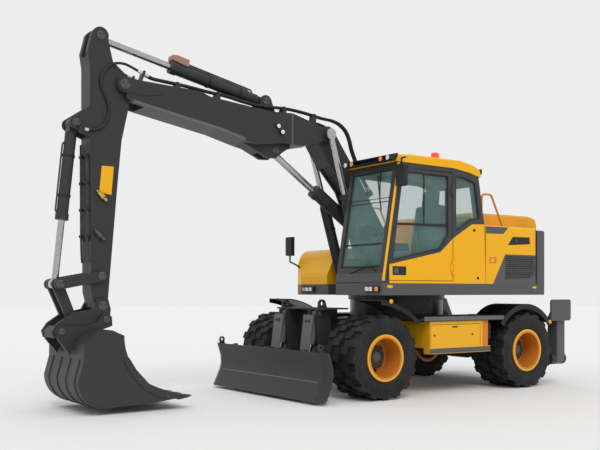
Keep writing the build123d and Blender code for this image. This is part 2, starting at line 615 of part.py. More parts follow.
# Platform of the upper structure: deck, skirt, boom foot plates and lift cylinder lugs
CAB_FRONT = 1350.0
TANK_FRONT = CAB_FRONT - 380
BAY_FRONT = CAB_FRONT - 750
TANK_CORNER = [(TANK_FRONT, 265 - SIDE_Y), (TANK_FRONT - 80, 75 - SIDE_Y), (TANK_FRONT - 270, -SIDE_Y)]
PLATFORM = [(CAB_FRONT, SIDE_Y), (CAB_FRONT, CAB_IN), (BAY_FRONT, CAB_IN), (BAY_FRONT, -CAB_IN),
            (TANK_FRONT, -CAB_IN), *TANK_CORNER, (TAIL_FRONT + SEAT_GAP, -SIDE_Y),
            (TAIL_FRONT + SEAT_GAP, SIDE_Y)]
FOOT_PLATE = moved([(-500, -360), (-500, -240), (-190, 50), (-70, 135), (80, 135), (180, 60), (390, -280),
                    (390, -360)], BOOM_FOOT)
LIFT_LUG_ROOT = moved([(-170, 50), (-170, -85)], LIFT_BASE)
with BuildPart() as slew_platform:
    slab(PLATFORM, RING_TOP + SEAT_GAP, SKIRT_TOP)
    with BuildSketch(deck(RING_TOP)):
        outline(PLATFORM)
        offset(amount=-SKIRT_WALL, kind=Kind.INTERSECTION)
    extrude(amount=SKIRT_TOP - RING_TOP - 90, mode=Mode.SUBTRACT)
    with BuildSketch(deck(RING_TOP + SEAT_GAP)):
        Circle(RING_R)
    extrude(amount=SKIRT_TOP - RING_TOP - 50)
    for hand in (1, -1):
        low, high = span(hand, FOOT_IN, FOOT_IN + FOOT_WALL)
        plate(FOOT_PLATE, low, high)
        lug([(LIFT_BASE, 88)], LIFT_LUG_ROOT, low, high)
        low, high = span(hand, LIFT_LUG_Y, LIFT_LUG_Y + LIFT_LUG_WALL)
        lug([(LIFT_BASE, 88)], LIFT_LUG_ROOT, low, high)
        disc(LIFT_BASE, CYLINDER_PIN_R, *span(hand, FOOT_IN, LIFT_LUG_Y + LIFT_LUG_WALL))
    disc(BOOM_FOOT, FOOT_PIN_R, -FOOT_IN - FOOT_WALL, FOOT_IN + FOOT_WALL)
keep(slew_platform, "slew_platform")

# Counterweight: rounded tail on the swing radius
with BuildPart() as counterweight:
    with BuildSketch(deck(RING_TOP + SEAT_GAP)):
        Circle(TAIL_R)
        outline([(TAIL_FRONT, -SIDE_Y), (TAIL_FRONT, SIDE_Y), (-TAIL_R - 100, SIDE_Y),
                 (-TAIL_R - 100, -SIDE_Y)],
                mode=Mode.INTERSECT)
    extrude(amount=TAIL_TOP - RING_TOP)
    fillet(counterweight.edges().filter_by(Axis.Z).group_by(Axis.X)[0], 70)
    fillet(counterweight.faces().sort_by(Axis.Z)[-1].edges().sort_by(Axis.X)[:3], 30)
keep(counterweight, "counterweight")

# Body behind the cab: side panels with louvres and a recess, front bulkhead, top deck round the engine bay
BODY_FRONT = CAB_FRONT - 1834
BODY_REAR = TAIL_FRONT + 30
BODY_TOP = SKIRT_TOP + 790
PANEL = 40.0
HOOD_HALF = SIDE_Y - 345
HOOD_FRONT = BODY_FRONT - 76
HOOD_REAR = -TAIL_R + 170
HOOD_TOP = BODY_TOP + 195
HOOD_WALL = 30.0
LOUVRES = 8
LOUVRE_PITCH = 36.0
LOUVRE_LOW = SKIRT_TOP + 88
RECESS = [(-532, 649), (-884, 654), (-895, 557), (-431, 529)]
HINGE_R = 11.0
HOOD_HINGE = (HOOD_FRONT + 14, BODY_TOP + 14)
HOOD_HINGE_Y = 600.0
HINGE_LENGTH = 90.0
HINGE_END = 40.0
with BuildPart() as body_panels:
    block(BODY_REAR, BODY_FRONT, -SIDE_Y, SIDE_Y, SKIRT_TOP + SEAT_GAP, BODY_TOP)
    fillet(body_panels.edges().filter_by(Axis.X).group_by(Axis.Z)[-1], 45)
    block(BODY_REAR - 1, BODY_FRONT - PANEL, PANEL - SIDE_Y, SIDE_Y - PANEL, SKIRT_TOP, BODY_TOP - PANEL,
          mode=Mode.SUBTRACT)
    block(BODY_REAR - 1, HOOD_FRONT - 14, HOOD_WALL - HOOD_HALF, HOOD_HALF - HOOD_WALL, BODY_TOP - PANEL - 1,
          BODY_TOP + 1, mode=Mode.SUBTRACT)
    for hand in (1, -1):
        plate(moved(RECESS, (BODY_FRONT, SKIRT_TOP)), *span(hand, SIDE_Y - 14, SIDE_Y + 1),
              mode=Mode.SUBTRACT)
        for step in range(LOUVRES):
            z = LOUVRE_LOW + step * LOUVRE_PITCH
            rear = max(BODY_REAR + 60, BODY_FRONT - 888 - 12 * step)
            block(rear, BODY_FRONT - 400, *span(hand, SIDE_Y - PANEL - 1, SIDE_Y + 1), z,
                  z + LOUVRE_PITCH - 14, mode=Mode.SUBTRACT)
    for y in (HOOD_HINGE_Y, -HOOD_HINGE_Y - HINGE_LENGTH):
        for low in (y - HINGE_END, y + HINGE_LENGTH + SEAT_GAP):
            lug([(HOOD_HINGE, HINGE_R)], [(HOOD_HINGE[0] + 3, BODY_TOP), (HOOD_HINGE[0] + 18, BODY_TOP)],
                low, low + HINGE_END - SEAT_GAP)
keep(body_panels, "body_panels")

# Engine hood: one raised lid over the engine and the counterweight's top, hinged at its front edge
HOOD = [(HOOD_FRONT, BODY_TOP + SEAT_GAP), (HOOD_FRONT, HOOD_TOP - 40), (HOOD_FRONT - 40, HOOD_TOP),
        (HOOD_REAR + 150, HOOD_TOP), (HOOD_REAR + 35, HOOD_TOP - 40), (HOOD_REAR, HOOD_TOP - 125),
        (HOOD_REAR, BODY_TOP + SEAT_GAP)]
HOOD_INSIDE = [(HOOD_FRONT - HOOD_WALL, BODY_TOP), (HOOD_FRONT - HOOD_WALL, HOOD_TOP - 50),
               (HOOD_FRONT - 55, HOOD_TOP - HOOD_WALL), (HOOD_REAR + 160, HOOD_TOP - HOOD_WALL),
               (HOOD_REAR + 60, HOOD_TOP - 60), (HOOD_REAR + HOOD_WALL, HOOD_TOP - 135),
               (HOOD_REAR + HOOD_WALL, BODY_TOP)]
with BuildPart() as engine_hood:
    plate(HOOD, -HOOD_HALF, HOOD_HALF)
    plate(HOOD_INSIDE, HOOD_WALL - HOOD_HALF, HOOD_HALF - HOOD_WALL, mode=Mode.SUBTRACT)
    fillet(engine_hood.edges().filter_by(Axis.X).group_by(Axis.Z)[-1], 25)
    for y in (HOOD_HINGE_Y, -HOOD_HINGE_Y - HINGE_LENGTH):
        lug([(HOOD_HINGE, HINGE_R)], [(HOOD_FRONT - 2, HOOD_HINGE[1] - 6),
                                      (HOOD_FRONT - 2, HOOD_HINGE[1] + 20)],
            y, y + HINGE_LENGTH)
keep(engine_hood, "engine_hood")

with BuildPart() as engine_block:
    block(BODY_REAR + 55, BODY_FRONT - 156, -420, 420, SKIRT_TOP + SEAT_GAP, BODY_TOP - 70)
keep(engine_block, "engine_block")

# Tank and tool cover on the right, in front of the body, with a sloping nose
TANK_TOP = SKIRT_TOP + 510
TANK_IN = CAB_IN + 25
with BuildPart() as tank_hood:
    slab([(TANK_FRONT, -TANK_IN), *TANK_CORNER, (BODY_FRONT + SEAT_GAP, -SIDE_Y),
          (BODY_FRONT + SEAT_GAP, -TANK_IN)],
         SKIRT_TOP + SEAT_GAP, TANK_TOP)
    with BuildSketch(side(-TANK_IN + 1)) as nose:
        with BuildLine():
            Line((TANK_FRONT + 30, SKIRT_TOP - 40), (TANK_FRONT - 10, TANK_TOP - 360))
            slope = Line((TANK_FRONT - 10, TANK_TOP - 360), (TANK_FRONT - 120, TANK_TOP - 150))
            TangentArc(slope @ 1, (TANK_FRONT - 410, TANK_TOP), tangent=slope % 1)
            Polyline((TANK_FRONT - 410, TANK_TOP), (TANK_FRONT - 410, TANK_TOP + 50),
                     (TANK_FRONT + 30, TANK_TOP + 50), (TANK_FRONT + 30, SKIRT_TOP - 40))
        make_face()
    extrude(nose.sketch, amount=SIDE_Y - TANK_IN + 2, mode=Mode.SUBTRACT)
keep(tank_hood, "tank_hood")

# Cab: hollow shell with its windows cut, door opening on the left; drawn from the foot of its front edge
CAB_FOOT = (CAB_FRONT, SKIRT_TOP)
CAB_WALL = 60.0
GLASS = 8.0
GLASS_IN = 26.0
FRONT_FRAME = 70.0
REAR_FRAME = 130.0
DOOR_AXIS = (CAB_FRONT - 1203, SIDE_Y + 5)
DOOR_HINGES = (SKIRT_TOP + 160, SKIRT_TOP + 1160)
CAB = moved([(0, SEAT_GAP), (0, 15), (-12, 120), (-252, 1510), (-1210, 1500), (-1500, 1465), (-1690, 1420),
             (-1800, 800), (-1828, SEAT_GAP)], CAB_FOOT)
CAB_INSIDE = moved([(-72, 60), (-310, 1460), (-1210, 1450), (-1485, 1415), (-1640, 1375), (-1742, 800),
                    (-1768, 60)], CAB_FOOT)
DOOR_HOLE = moved([(-82, 30), (-88, 120), (-310, 1445), (-1206, 1445), (-1206, 30)], CAB_FOOT)
QUARTER = moved([(-1265, 690), (-1265, 1410), (-1480, 1385), (-1625, 1335), (-1710, 860), (-1550, 850)],
                CAB_FOOT)
RIGHT_PANE = moved([(-135, 320), (-305, 1410), (-1470, 1385), (-1625, 1335), (-1735, 320)], CAB_FOOT)
DOOR_PANE = moved([(-170, 290), (-340, 1390), (-1125, 1390), (-1125, 630), (-990, 445)], CAB_FOOT)


def hinge_relief(z_low, z_high):
    """Round relief for the hinge barrels of the other side."""
    with BuildSketch(deck(z_low)) as face:
        with Locations(DOOR_AXIS):
            Circle(HINGE_R + 5)
    extrude(face.sketch, amount=z_high - z_low, mode=Mode.SUBTRACT)


def hinge_barrel(z_low, z_high, leaf):
    """Hinge barrel on the door's axis with a leaf towards what it carries."""
    with BuildSketch(deck(z_low)) as face:
        with Locations(DOOR_AXIS):
            Circle(HINGE_R)
        with Locations((DOOR_AXIS[0] + leaf / 2, DOOR_AXIS[1] - 1)):
            Rectangle(abs(leaf), 10)
    extrude(face.sketch, amount=z_high - z_low)


with BuildPart() as cab_shell:
    plate(CAB, CAB_IN, SIDE_Y)
    plate(CAB_INSIDE, CAB_IN + CAB_WALL, SIDE_Y - CAB_WALL, mode=Mode.SUBTRACT)
    for hole in (DOOR_HOLE, QUARTER):
        plate(hole, SIDE_Y - CAB_WALL - 1, SIDE_Y + 1, mode=Mode.SUBTRACT)
    plate(RIGHT_PANE, CAB_IN - 1, CAB_IN + CAB_WALL + 1, mode=Mode.SUBTRACT)
    block(CAB_FRONT - 350, CAB_FRONT + 50, CAB_IN + FRONT_FRAME, SIDE_Y - FRONT_FRAME, SKIRT_TOP + 200,
          SKIRT_TOP + 1420, mode=Mode.SUBTRACT)
    block(CAB_FRONT - 1850, CAB_FRONT - 1650, CAB_IN + REAR_FRAME, SIDE_Y - REAR_FRAME, SKIRT_TOP + 850,
          SKIRT_TOP + 1300, mode=Mode.SUBTRACT)
    for z in DOOR_HINGES:
        hinge_relief(z - SEAT_GAP, z + HINGE_LENGTH + SEAT_GAP)
        hinge_barrel(z - HINGE_END, z - SEAT_GAP, -40)
        hinge_barrel(z + HINGE_LENGTH + SEAT_GAP, z + HINGE_LENGTH + HINGE_END, -40)
keep(cab_shell, "cab_shell")


def shrunk(points, gap):
    """Opening's outline drawn in by a gap."""
    with BuildSketch() as inner:
        outline(points)
        offset(amount=-gap, kind=Kind.INTERSECTION)
    return inner.sketch


def pane(points, gap, y_low, thickness):
    """Flat panel that fits an opening with a gap all round."""
    extrude(side(y_low + thickness) * shrunk(points, gap), amount=thickness)


# Fixed glass: quarter window, right side, windscreen and rear window
with BuildPart() as cab_glass:
    pane(QUARTER, SEAT_GAP, SIDE_Y - GLASS_IN - GLASS, GLASS)
    pane(RIGHT_PANE, SEAT_GAP, CAB_IN + GLASS_IN, GLASS)
    plate(moved([(-54, 200 + SEAT_GAP), (GLASS - 54, 200 + SEAT_GAP), (GLASS - 261, 1420 - SEAT_GAP),
                 (-261, 1420 - SEAT_GAP)], CAB_FOOT),
          CAB_IN + FRONT_FRAME + SEAT_GAP, SIDE_Y - FRONT_FRAME - SEAT_GAP)
    plate(moved([(-1771, 850 + SEAT_GAP), (GLASS - 1771, 850 + SEAT_GAP), (GLASS - 1698, 1300 - SEAT_GAP),
                 (-1698, 1300 - SEAT_GAP)], CAB_FOOT),
          CAB_IN + REAR_FRAME + SEAT_GAP, SIDE_Y - REAR_FRAME - SEAT_GAP)
keep(cab_glass, "cab_glass")

# Door: fills its hole with a running gap, hung on the rear post
with BuildPart() as cab_door:
    pane(DOOR_HOLE, DOOR_GAP, SIDE_Y - CAB_WALL, CAB_WALL)
    plate(DOOR_PANE, SIDE_Y - CAB_WALL - 1, SIDE_Y + 1, mode=Mode.SUBTRACT)
    block(CAB_FRONT - 330, CAB_FRONT - 190, SIDE_Y - 12, SIDE_Y + 1, SKIRT_TOP + 105, SKIRT_TOP + 190,
          mode=Mode.SUBTRACT)
    for z in DOOR_HINGES:
        hinge_relief(z - HINGE_END - 6, z)
        hinge_relief(z + HINGE_LENGTH, z + HINGE_LENGTH + HINGE_END + 6)
        hinge_barrel(z, z + HINGE_LENGTH, 38)
keep(cab_door, "cab_door")

with BuildPart() as door_glass:
    pane(DOOR_PANE, SEAT_GAP, SIDE_Y - GLASS_IN - GLASS, GLASS)
keep(door_glass, "door_glass")

# Roof cap over the shell, with a brow in front
ROOF_SIDE = 12.0
ROOF = moved([(-252, 1510 + SEAT_GAP), (-225, 1520), (-265, 1600), (-450, 1616), (-1350, 1612), (-1540, 1580),
              (-1695, 1510), (-1725, 1430), (-1702, 1412), (-1690, 1420 + SEAT_GAP), (-1500, 1465 + SEAT_GAP),
              (-1210, 1500 + SEAT_GAP)], CAB_FOOT)
with BuildPart() as cab_roof:
    plate(ROOF, CAB_IN - ROOF_SIDE + 4, SIDE_Y + ROOF_SIDE)
    crown = cab_roof.edges().filter_by(GeomType.LINE)
    crown = crown.filter_by(lambda edge: abs(edge.tangent_at(0.5).Y) < 0.1)
    fillet(crown.filter_by(lambda edge: edge.center().Z > SKIRT_TOP + 1560), 28)
keep(cab_roof, "cab_roof")

# Seat, its pedestal and consoles, steering column and wheel
FLOOR_Z = SKIRT_TOP + 60
CAB_MID = (CAB_IN + SIDE_Y) / 2
SEAT_FOOT = (CAB_FRONT - 1170, FLOOR_Z)
COLUMN_FOOT = (CAB_FRONT - 200, FLOOR_Z + SEAT_GAP)
COLUMN_TOP = past(COLUMN_FOOT, -190, 580)
with BuildPart() as cab_interior:
    plate(moved([(-20, SEAT_GAP), (540, SEAT_GAP), (540, 60), (-20, 60)], SEAT_FOOT), CAB_IN + 100,
          SIDE_Y - 95)
    plate(moved([(0, 50), (460, 50), (460, 230), (0, 230)], SEAT_FOOT), CAB_MID - 225, CAB_MID + 225)
    plate(moved([(-60, 221), (500, 221), (520, 300), (480, 350), (0, 330), (-60, 380)], SEAT_FOOT),
          CAB_MID - 255, CAB_MID + 255)
    plate(moved([(-30, 330), (70, 330), (-50, 980), (-140, 970)], SEAT_FOOT), CAB_MID - 235, CAB_MID + 235)
    plate(moved([(-110, 940), (-40, 940), (-70, 1180), (-140, 1170)], SEAT_FOOT), CAB_MID - 125,
          CAB_MID + 125)
    for y in (CAB_IN + 100, SIDE_Y - 185):
        plate(moved([(120, 50), (460, 50), (520, 450), (480, 490), (70, 490), (50, 400)], SEAT_FOOT), y,
              y + 90)
    shaft(aim(COLUMN_FOOT, COLUMN_TOP, CAB_MID), 13.2, 610, 40)
    with BuildSketch(aim(COLUMN_FOOT, COLUMN_TOP, CAB_MID).offset(600)):
        Circle(185)
        Circle(158, mode=Mode.SUBTRACT)
        Rectangle(330, 44)
        Circle(52)
    extrude(amount=22)
keep(cab_interior, "cab_interior")

# Rails, mirrors, lamps and the beacon
RAIL_X = BODY_FRONT - 21
RAIL_Y = SIDE_Y - 95
RAIL_FOOT = BODY_TOP + SEAT_GAP
with BuildPart() as handrails:
    for y in (RAIL_Y, -RAIL_Y):
        pipe([(RAIL_X, y, RAIL_FOOT), (RAIL_X, y, RAIL_FOOT + 425), (RAIL_X - 185, y, RAIL_FOOT + 425),
              (RAIL_X - 405, y, RAIL_FOOT + 6.5)], 14, 60)
keep(handrails, "handrails")

ROOF_OUT = SIDE_Y + ROOF_SIDE + SEAT_GAP
with BuildPart() as mirrors:
    block(CAB_FRONT - 270, CAB_FRONT - 205, SIDE_Y + 15, SIDE_Y + 165, SKIRT_TOP + 1195, SKIRT_TOP + 1465)
    fillet(mirrors.edges().filter_by(Axis.X), 30)
    pipe([(CAB_FRONT - 320, ROOF_OUT, SKIRT_TOP + 1560), (CAB_FRONT - 320, ROOF_OUT + 70, SKIRT_TOP + 1560),
          (CAB_FRONT - 240, ROOF_OUT + 70, SKIRT_TOP + 1540),
          (CAB_FRONT - 240, ROOF_OUT + 70, SKIRT_TOP + 1450)], 10, 24)
    block(TANK_FRONT - 70, TANK_FRONT - 10, -SIDE_Y - 145, -SIDE_Y + 5, TANK_TOP - 80, TANK_TOP + 200)
    fillet(mirrors.edges().filter_by(Axis.X).group_by(Axis.Y)[0], 30)
    pipe([(TANK_FRONT - 64.7, 145 - SIDE_Y, SKIRT_TOP + 255.2),
          (TANK_FRONT - 3, 145 - SIDE_Y, SKIRT_TOP + 287), (TANK_FRONT - 40, -SIDE_Y - 70, SKIRT_TOP + 340),
          (TANK_FRONT - 40, -SIDE_Y - 70, SKIRT_TOP + 440)], 12, 24)
keep(mirrors, "mirrors")

# Lamp bar: sun visor over the roof's front edge with two lamps under it; a rear roof lamp; skirt lamps
VISOR = moved([(-224.6, 1520), (-264.6, 1600), (-258, 1618), (-120, 1586), (-124, 1573), (-205, 1588),
               (-190, 1521)], CAB_FOOT)
LAMP = moved([(-200, 1523), (-124, 1526), (-124, 1580), (-215, 1595)], CAB_FOOT)
REAR_LAMP = moved([(-1718.6, 1448), (-1800, 1470), (-1800, 1540), (-1695.4, 1510)], CAB_FOOT)
with BuildPart() as work_lamps:
    plate(VISOR, CAB_IN + 4, SIDE_Y - 4)
    for y in (CAB_IN + 50, SIDE_Y - 40):
        plate(LAMP, y - 45, y + 45)
    plate(REAR_LAMP, SIDE_Y - 150, SIDE_Y - 40)
    for x, low, high in ((CAB_FRONT, SIDE_Y - 300, SIDE_Y - 40), (TANK_FRONT, -SIDE_Y + 325, -SIDE_Y + 615)):
        block(x + SEAT_GAP, x + 26, low, high, RING_TOP + 38, RING_TOP + 118)
keep(work_lamps, "work_lamps")

BEACON = Plane(origin=(SWING_X + 20, SIDE_Y - 445, SKIRT_TOP + 1612 + 0.7))
with BuildPart() as beacon:
    shaft(BEACON, 0, 22, 66)
    shaft(BEACON, 22, 160, 56)
    fillet(beacon.edges().group_by(Axis.Z)[-1], 30)
keep(beacon, "beacon")

# Routes of the hydraulic lines, and the blocks that carry them on the booms and the arm
HOSE_R = 15.0
BOOM_LINE_Y = (LOWER_HALF - 18, LOWER_HALF + 24)
SADDLE_Y = (LOWER_HALF - 40, BOOM_HALF)
SADDLE_HALF = 30.0
BULKHEAD = 25.0
BOOM_LINE = moved([(2651, 439), (2549, 399), (2360, 388), (2090, 372), (1810, 342), (1540, 326),
                   (1300, 284), (1060, 258), (820, 272), (580, 274), (340, 252), (90, 213), (-90, 205),
                   (-220, 170), (-325, 95), (-390, -15), (-425, -150), (-557, -433), (-725, -687)], KNEE)
ARM_LINE = moved([(-230.4, 168.2), (-118.7, 212), (-20, 246), (95, 240), (190, 183), (262, 86), (277, -31),
                  (216, -151), (170, -275), (186, -405), (262, -514), (367, -552), (472, -552)], BOOM_TIP)


def reach_of(a, b):
    """Distance between two points."""
    return hypot(b[0] - a[0], b[1] - a[1])


def beside(a, b, start, end, near, far):
    """Outline of a block on the left of the way from a to b, between two distances along it."""
    reach = reach_of(a, b)
    way = ((b[0] - a[0]) / reach, (b[1] - a[1]) / reach)
    corners = ((start, near), (end, near), (end, far), (start, far))
    return [past(a, along * way[0] - off * way[1], along * way[1] + off * way[0]) for along, off in corners]


# Lower boom: box with a pocket in front for the adjusting cylinder, and the hose clamp on its back
LOWER_BOOM = moved([(1250, 1490), (1080, 1250), (750, 900), (370, 50), (130, -80), (-130, -80), (-100, 100),
                    (170, 500), (600, 1150), (970, 1650), (1120, 1700), (1230, 1630)], BOOM_FOOT)
POCKET = moved([(215, 370), (1000, 1200), (1650, 1200), (1650, 155), (300, 155), (225, 220)], BOOM_FOOT)
POCKET_HALF = LOWER_HALF - 35
LAST_RUN = reach_of(BOOM_LINE[-2], BOOM_LINE[-1])
CLAMP = beside(BOOM_LINE[-2], BOOM_LINE[-1], LAST_RUN + SEAT_GAP, LAST_RUN + 80, -25, 65)
with BuildPart() as lower_boom:
    plate(LOWER_BOOM, -LOWER_HALF, LOWER_HALF, bend=30)
    disc(BOOM_FOOT, 130, 5 - FOOT_IN, FOOT_IN - 5)
    disc(KNEE, 120, -LOWER_HALF, LOWER_HALF)
    plate(POCKET, -POCKET_HALF, POCKET_HALF, mode=Mode.SUBTRACT)
    disc(BOOM_FOOT, FOOT_PIN_R + PIN_GAP, -FOOT_IN, FOOT_IN, mode=Mode.SUBTRACT)
    disc(KNEE, FOOT_PIN_R + PIN_GAP, -LOWER_HALF, LOWER_HALF, mode=Mode.SUBTRACT)
    disc(ADJUST_BASE, CYLINDER_PIN_R, -POCKET_HALF - 20, POCKET_HALF + 20)
    plate(CLAMP, -LOWER_HALF - 40, LOWER_HALF + 40)
keep(lower_boom, "lower_boom")

# Main boom: box between two forks, with ears for three cylinders
BOOM_TOP_EDGE = moved([(2847, 355), (1930, 330), (1790, 282), (1300, 238), (917, 204), (570, 220),
                       (380, 170), (100, 95), (-43, 83), (-115, 32)], KNEE)
BOOM_LOW_EDGE = moved([(-70, -85), (57, -77), (170, -133), (434, -187), (692, -178), (1138, -237),
                       (1277, -207), (1653, -113), (2641, 56), (2804, 89), (2889, 131)], KNEE)
FIRST_RUN = reach_of(BOOM_LINE[1], BOOM_LINE[0])
HOSE_PLATE = beside(BOOM_LINE[1], BOOM_LINE[0], FIRST_RUN + SEAT_GAP, FIRST_RUN + BULKHEAD, -115, 28)
SADDLES = (2, 4, 8, 10)
ADJUST_EAR = moved([(1277, -207), (910, -370), (778, -365), (670, -280), (560, -213), (560, -150),
                    (1277, -150)], KNEE)
EAR_IN = 62.0
with BuildPart() as main_boom:
    plate(BOOM_TOP_EDGE + BOOM_LOW_EDGE, -BOOM_HALF, BOOM_HALF, bend=30)
    disc(KNEE, 110, -BOOM_HALF - 5, BOOM_HALF + 5)
    disc(BOOM_TIP, 90, -BOOM_HALF, BOOM_HALF)
    plate(ADJUST_EAR, -110, 110)
    lug([(ARM_BASE, 82)], moved([(-150, -160), (110, -160)], ARM_BASE), -100, 100)
    disc(KNEE, 265, -LOWER_HALF - KNEE_GAP, LOWER_HALF + KNEE_GAP, mode=Mode.SUBTRACT)
    disc(BOOM_TIP, 340, -FORK_IN, FORK_IN, mode=Mode.SUBTRACT)
    plate(moved([(-204, -243), (246, -243), (246, 177), (-204, 177)], ADJUST_EYE), -EAR_IN, EAR_IN,
          mode=Mode.SUBTRACT)
    plate(moved([(-190, -90), (270, -90), (270, 145), (-190, 145)], ARM_BASE), -EAR_IN, EAR_IN,
          mode=Mode.SUBTRACT)
    disc(KNEE, FOOT_PIN_R, -BOOM_HALF - 5, BOOM_HALF + 5)
    disc(BOOM_TIP, TIP_PIN_R, -BOOM_HALF, BOOM_HALF)
    disc(ARM_BASE, CYLINDER_PIN_R, -100, 100)
    for near, far in ((SADDLE_Y[0], SADDLE_Y[1]), (-SADDLE_Y[1], -SADDLE_Y[0])):
        plate(HOSE_PLATE, near, far)
        for at in SADDLES:
            a, b = BOOM_LINE[at:at + 2]
            middle = reach_of(a, b) / 2
            plate(beside(a, b, middle - SADDLE_HALF, middle + SADDLE_HALF, HOSE_R + SEAT_GAP, 125), near, far)
keep(main_boom, "main_boom")

# Arm: tapering box with a slot at its tail, ears for the bucket cylinder, and a narrow foot
ARM = moved([(265, 620), (175, 550), (170, 460), (120, 256), (-75, 100), (-110, -40), (-75, -240), (14, -634),
             (63, -1121), (104, -1580), (180, -2440), (195, -2580), (325, -2580), (380, -2360), (395, -520),
             (395, 180), (420, 340), (360, 570)], BOOM_TIP)
BUCKET_PIN_R = 32.0
with BuildPart() as arm:
    plate(ARM, -ARM_HALF, ARM_HALF, bend=30)
    for centre, radius in ((ARM_TAIL, 95), (BOOM_TIP, 110), (ARM_END, 85)):
        disc(centre, radius, -ARM_HALF, ARM_HALF)
    lug([(BUCKET_BASE, 72)], moved([(-180, -150), (-180, 210)], BUCKET_BASE), -ARM_HALF, ARM_HALF)
    plate(moved([(-158, -170), (-158, 230), (120, 230), (120, -170)], BUCKET_BASE), -100, 100,
          mode=Mode.SUBTRACT)
    plate(moved([(-240, -240), (-240, 180), (260, 180), (260, -240)], ARM_TAIL), -EAR_IN, EAR_IN,
          mode=Mode.SUBTRACT)
    for centre, radius in ((BOOM_TIP, TIP_PIN_R), (ARM_END, ARM_END_PIN_R), (LEVER_PIN, CYLINDER_PIN_R)):
        disc(centre, radius + PIN_GAP, -ARM_HALF, ARM_HALF, mode=Mode.SUBTRACT)
    disc(BUCKET_BASE, BUCKET_PIN_R, -ARM_HALF, ARM_HALF)
    for hand in (1, -1):
        block(ARM_LINE[-1][0] + SEAT_GAP, ARM_LINE[-1][0] + 62, *span(hand, ARM_HALF - 1, ARM_HALF + 50),
              ARM_LINE[-1][1] - 33, ARM_LINE[-1][1] + 33)
keep(arm, "arm")

# Boom, arm and bucket cylinders: neck and barrel lengths and radius, then the rod, then ears and base pin
CYLINDERS = (
    ("lift", LIFT_BASE, KNEE, (LIFT_Y, -LIFT_Y), (120, 1270, 65), (450, 40),
     (62, LIFT_EAR_HALF, CYLINDER_PIN_R), (75, LIFT_EAR_HALF)),
    ("adjust", ADJUST_BASE, ADJUST_EYE, (0,), (100, 1100, 80), (480, 45), (70, 60, CYLINDER_PIN_R), (62, 52)),
    ("arm", ARM_BASE, ARM_TAIL, (0,), (110, 1346, 72), (500, 42), (62, 50, CYLINDER_PIN_R), (66, 50)),
    ("bucket", BUCKET_BASE, LINK_TOP, (0,), (100, 1085, 65), (500, 38), (60, 60, BUCKET_PIN_R), (60, 45)),
)
for (name, base, eye, y_values, (neck, length, radius), (inside, rod), (ear, ear_half, pin),
     (eye_ear, eye_half)) in CYLINDERS:
    with BuildPart() as cylinder_barrel:
        for y in y_values:
            barrel(base, eye, y, neck, length, radius, rod, ear, ear_half, pin)
    keep(cylinder_barrel, f"{name}_barrel")
    with BuildPart() as cylinder_rod:
        for y in y_values:
            piston(base, eye, y, length - inside, rod, eye_ear, eye_half)
    keep(cylinder_rod, f"{name}_rod")

# Bucket linkage: lever on the arm, link down to the coupler
LEVER_IN = ARM_HALF + 8
LEVER_WALL = 40.0
LINK_IN = 62.0
LINK_OUT = LINK_IN + LEVER_WALL
with BuildPart() as bucket_lever:
    for hand in (1, -1):
        lug([(LEVER_PIN, 58), (LINK_TOP, 60)], [], *span(hand, LEVER_IN, LEVER_IN + LEVER_WALL))
        disc(LINK_TOP, CYLINDER_PIN_R, *span(hand, LINK_IN - 2, LEVER_IN + LEVER_WALL))
    disc(LEVER_PIN, CYLINDER_PIN_R, -LEVER_IN - LEVER_WALL, LEVER_IN + LEVER_WALL)
keep(bucket_lever, "bucket_lever")

with BuildPart() as bucket_link:
    for hand in (1, -1):
        lug([(LINK_TOP, 64), (LINK_LOW, 56)], [], *span(hand, LINK_IN, LINK_OUT))
        disc(LINK_TOP, CYLINDER_PIN_R + PIN_GAP, *span(hand, LINK_IN, LINK_OUT), mode=Mode.SUBTRACT)
    disc(LINK_LOW, CYLINDER_PIN_R, -LINK_OUT, LINK_OUT)
keep(bucket_link, "bucket_link")

# Quick coupler: side plates over the arm's foot, a body below with the holes for the bucket's pins
COUPLER = moved([(-95, -36), (-65, 74), (65, 74), (125, -36), (265, -66), (335, -61), (405, -106),
                 (525, -186), (590, -276), (565, -351), (415, -316), (265, -246), (65, -236), (-80, -191)],
                ARM_END)
COUPLER_BODY = moved([(-80, -191), (-70, -114), (65, -114), (185, -206), (445, -236), (525, -216),
                      (580, -276), (560, -346), (415, -314), (265, -244), (65, -234)], ARM_END)
COUPLER_HALF = FORK_IN + 35
with BuildPart() as quick_coupler:
    for hand in (1, -1):
        plate(COUPLER, *span(hand, FORK_IN, COUPLER_HALF))
    plate(COUPLER_BODY, -FORK_IN - 8, FORK_IN + 8)
    disc(LINK_LOW, 122, -LINK_OUT - 6, LINK_OUT + 6, mode=Mode.SUBTRACT)
    disc(ARM_END, ARM_END_PIN_R, -COUPLER_HALF, COUPLER_HALF)
    for centre in COUPLER_PINS:
        disc(centre, COUPLER_PIN_R + PIN_GAP, -COUPLER_HALF - 3, COUPLER_HALF + 3, mode=Mode.SUBTRACT)
keep(quick_coupler, "quick_coupler")

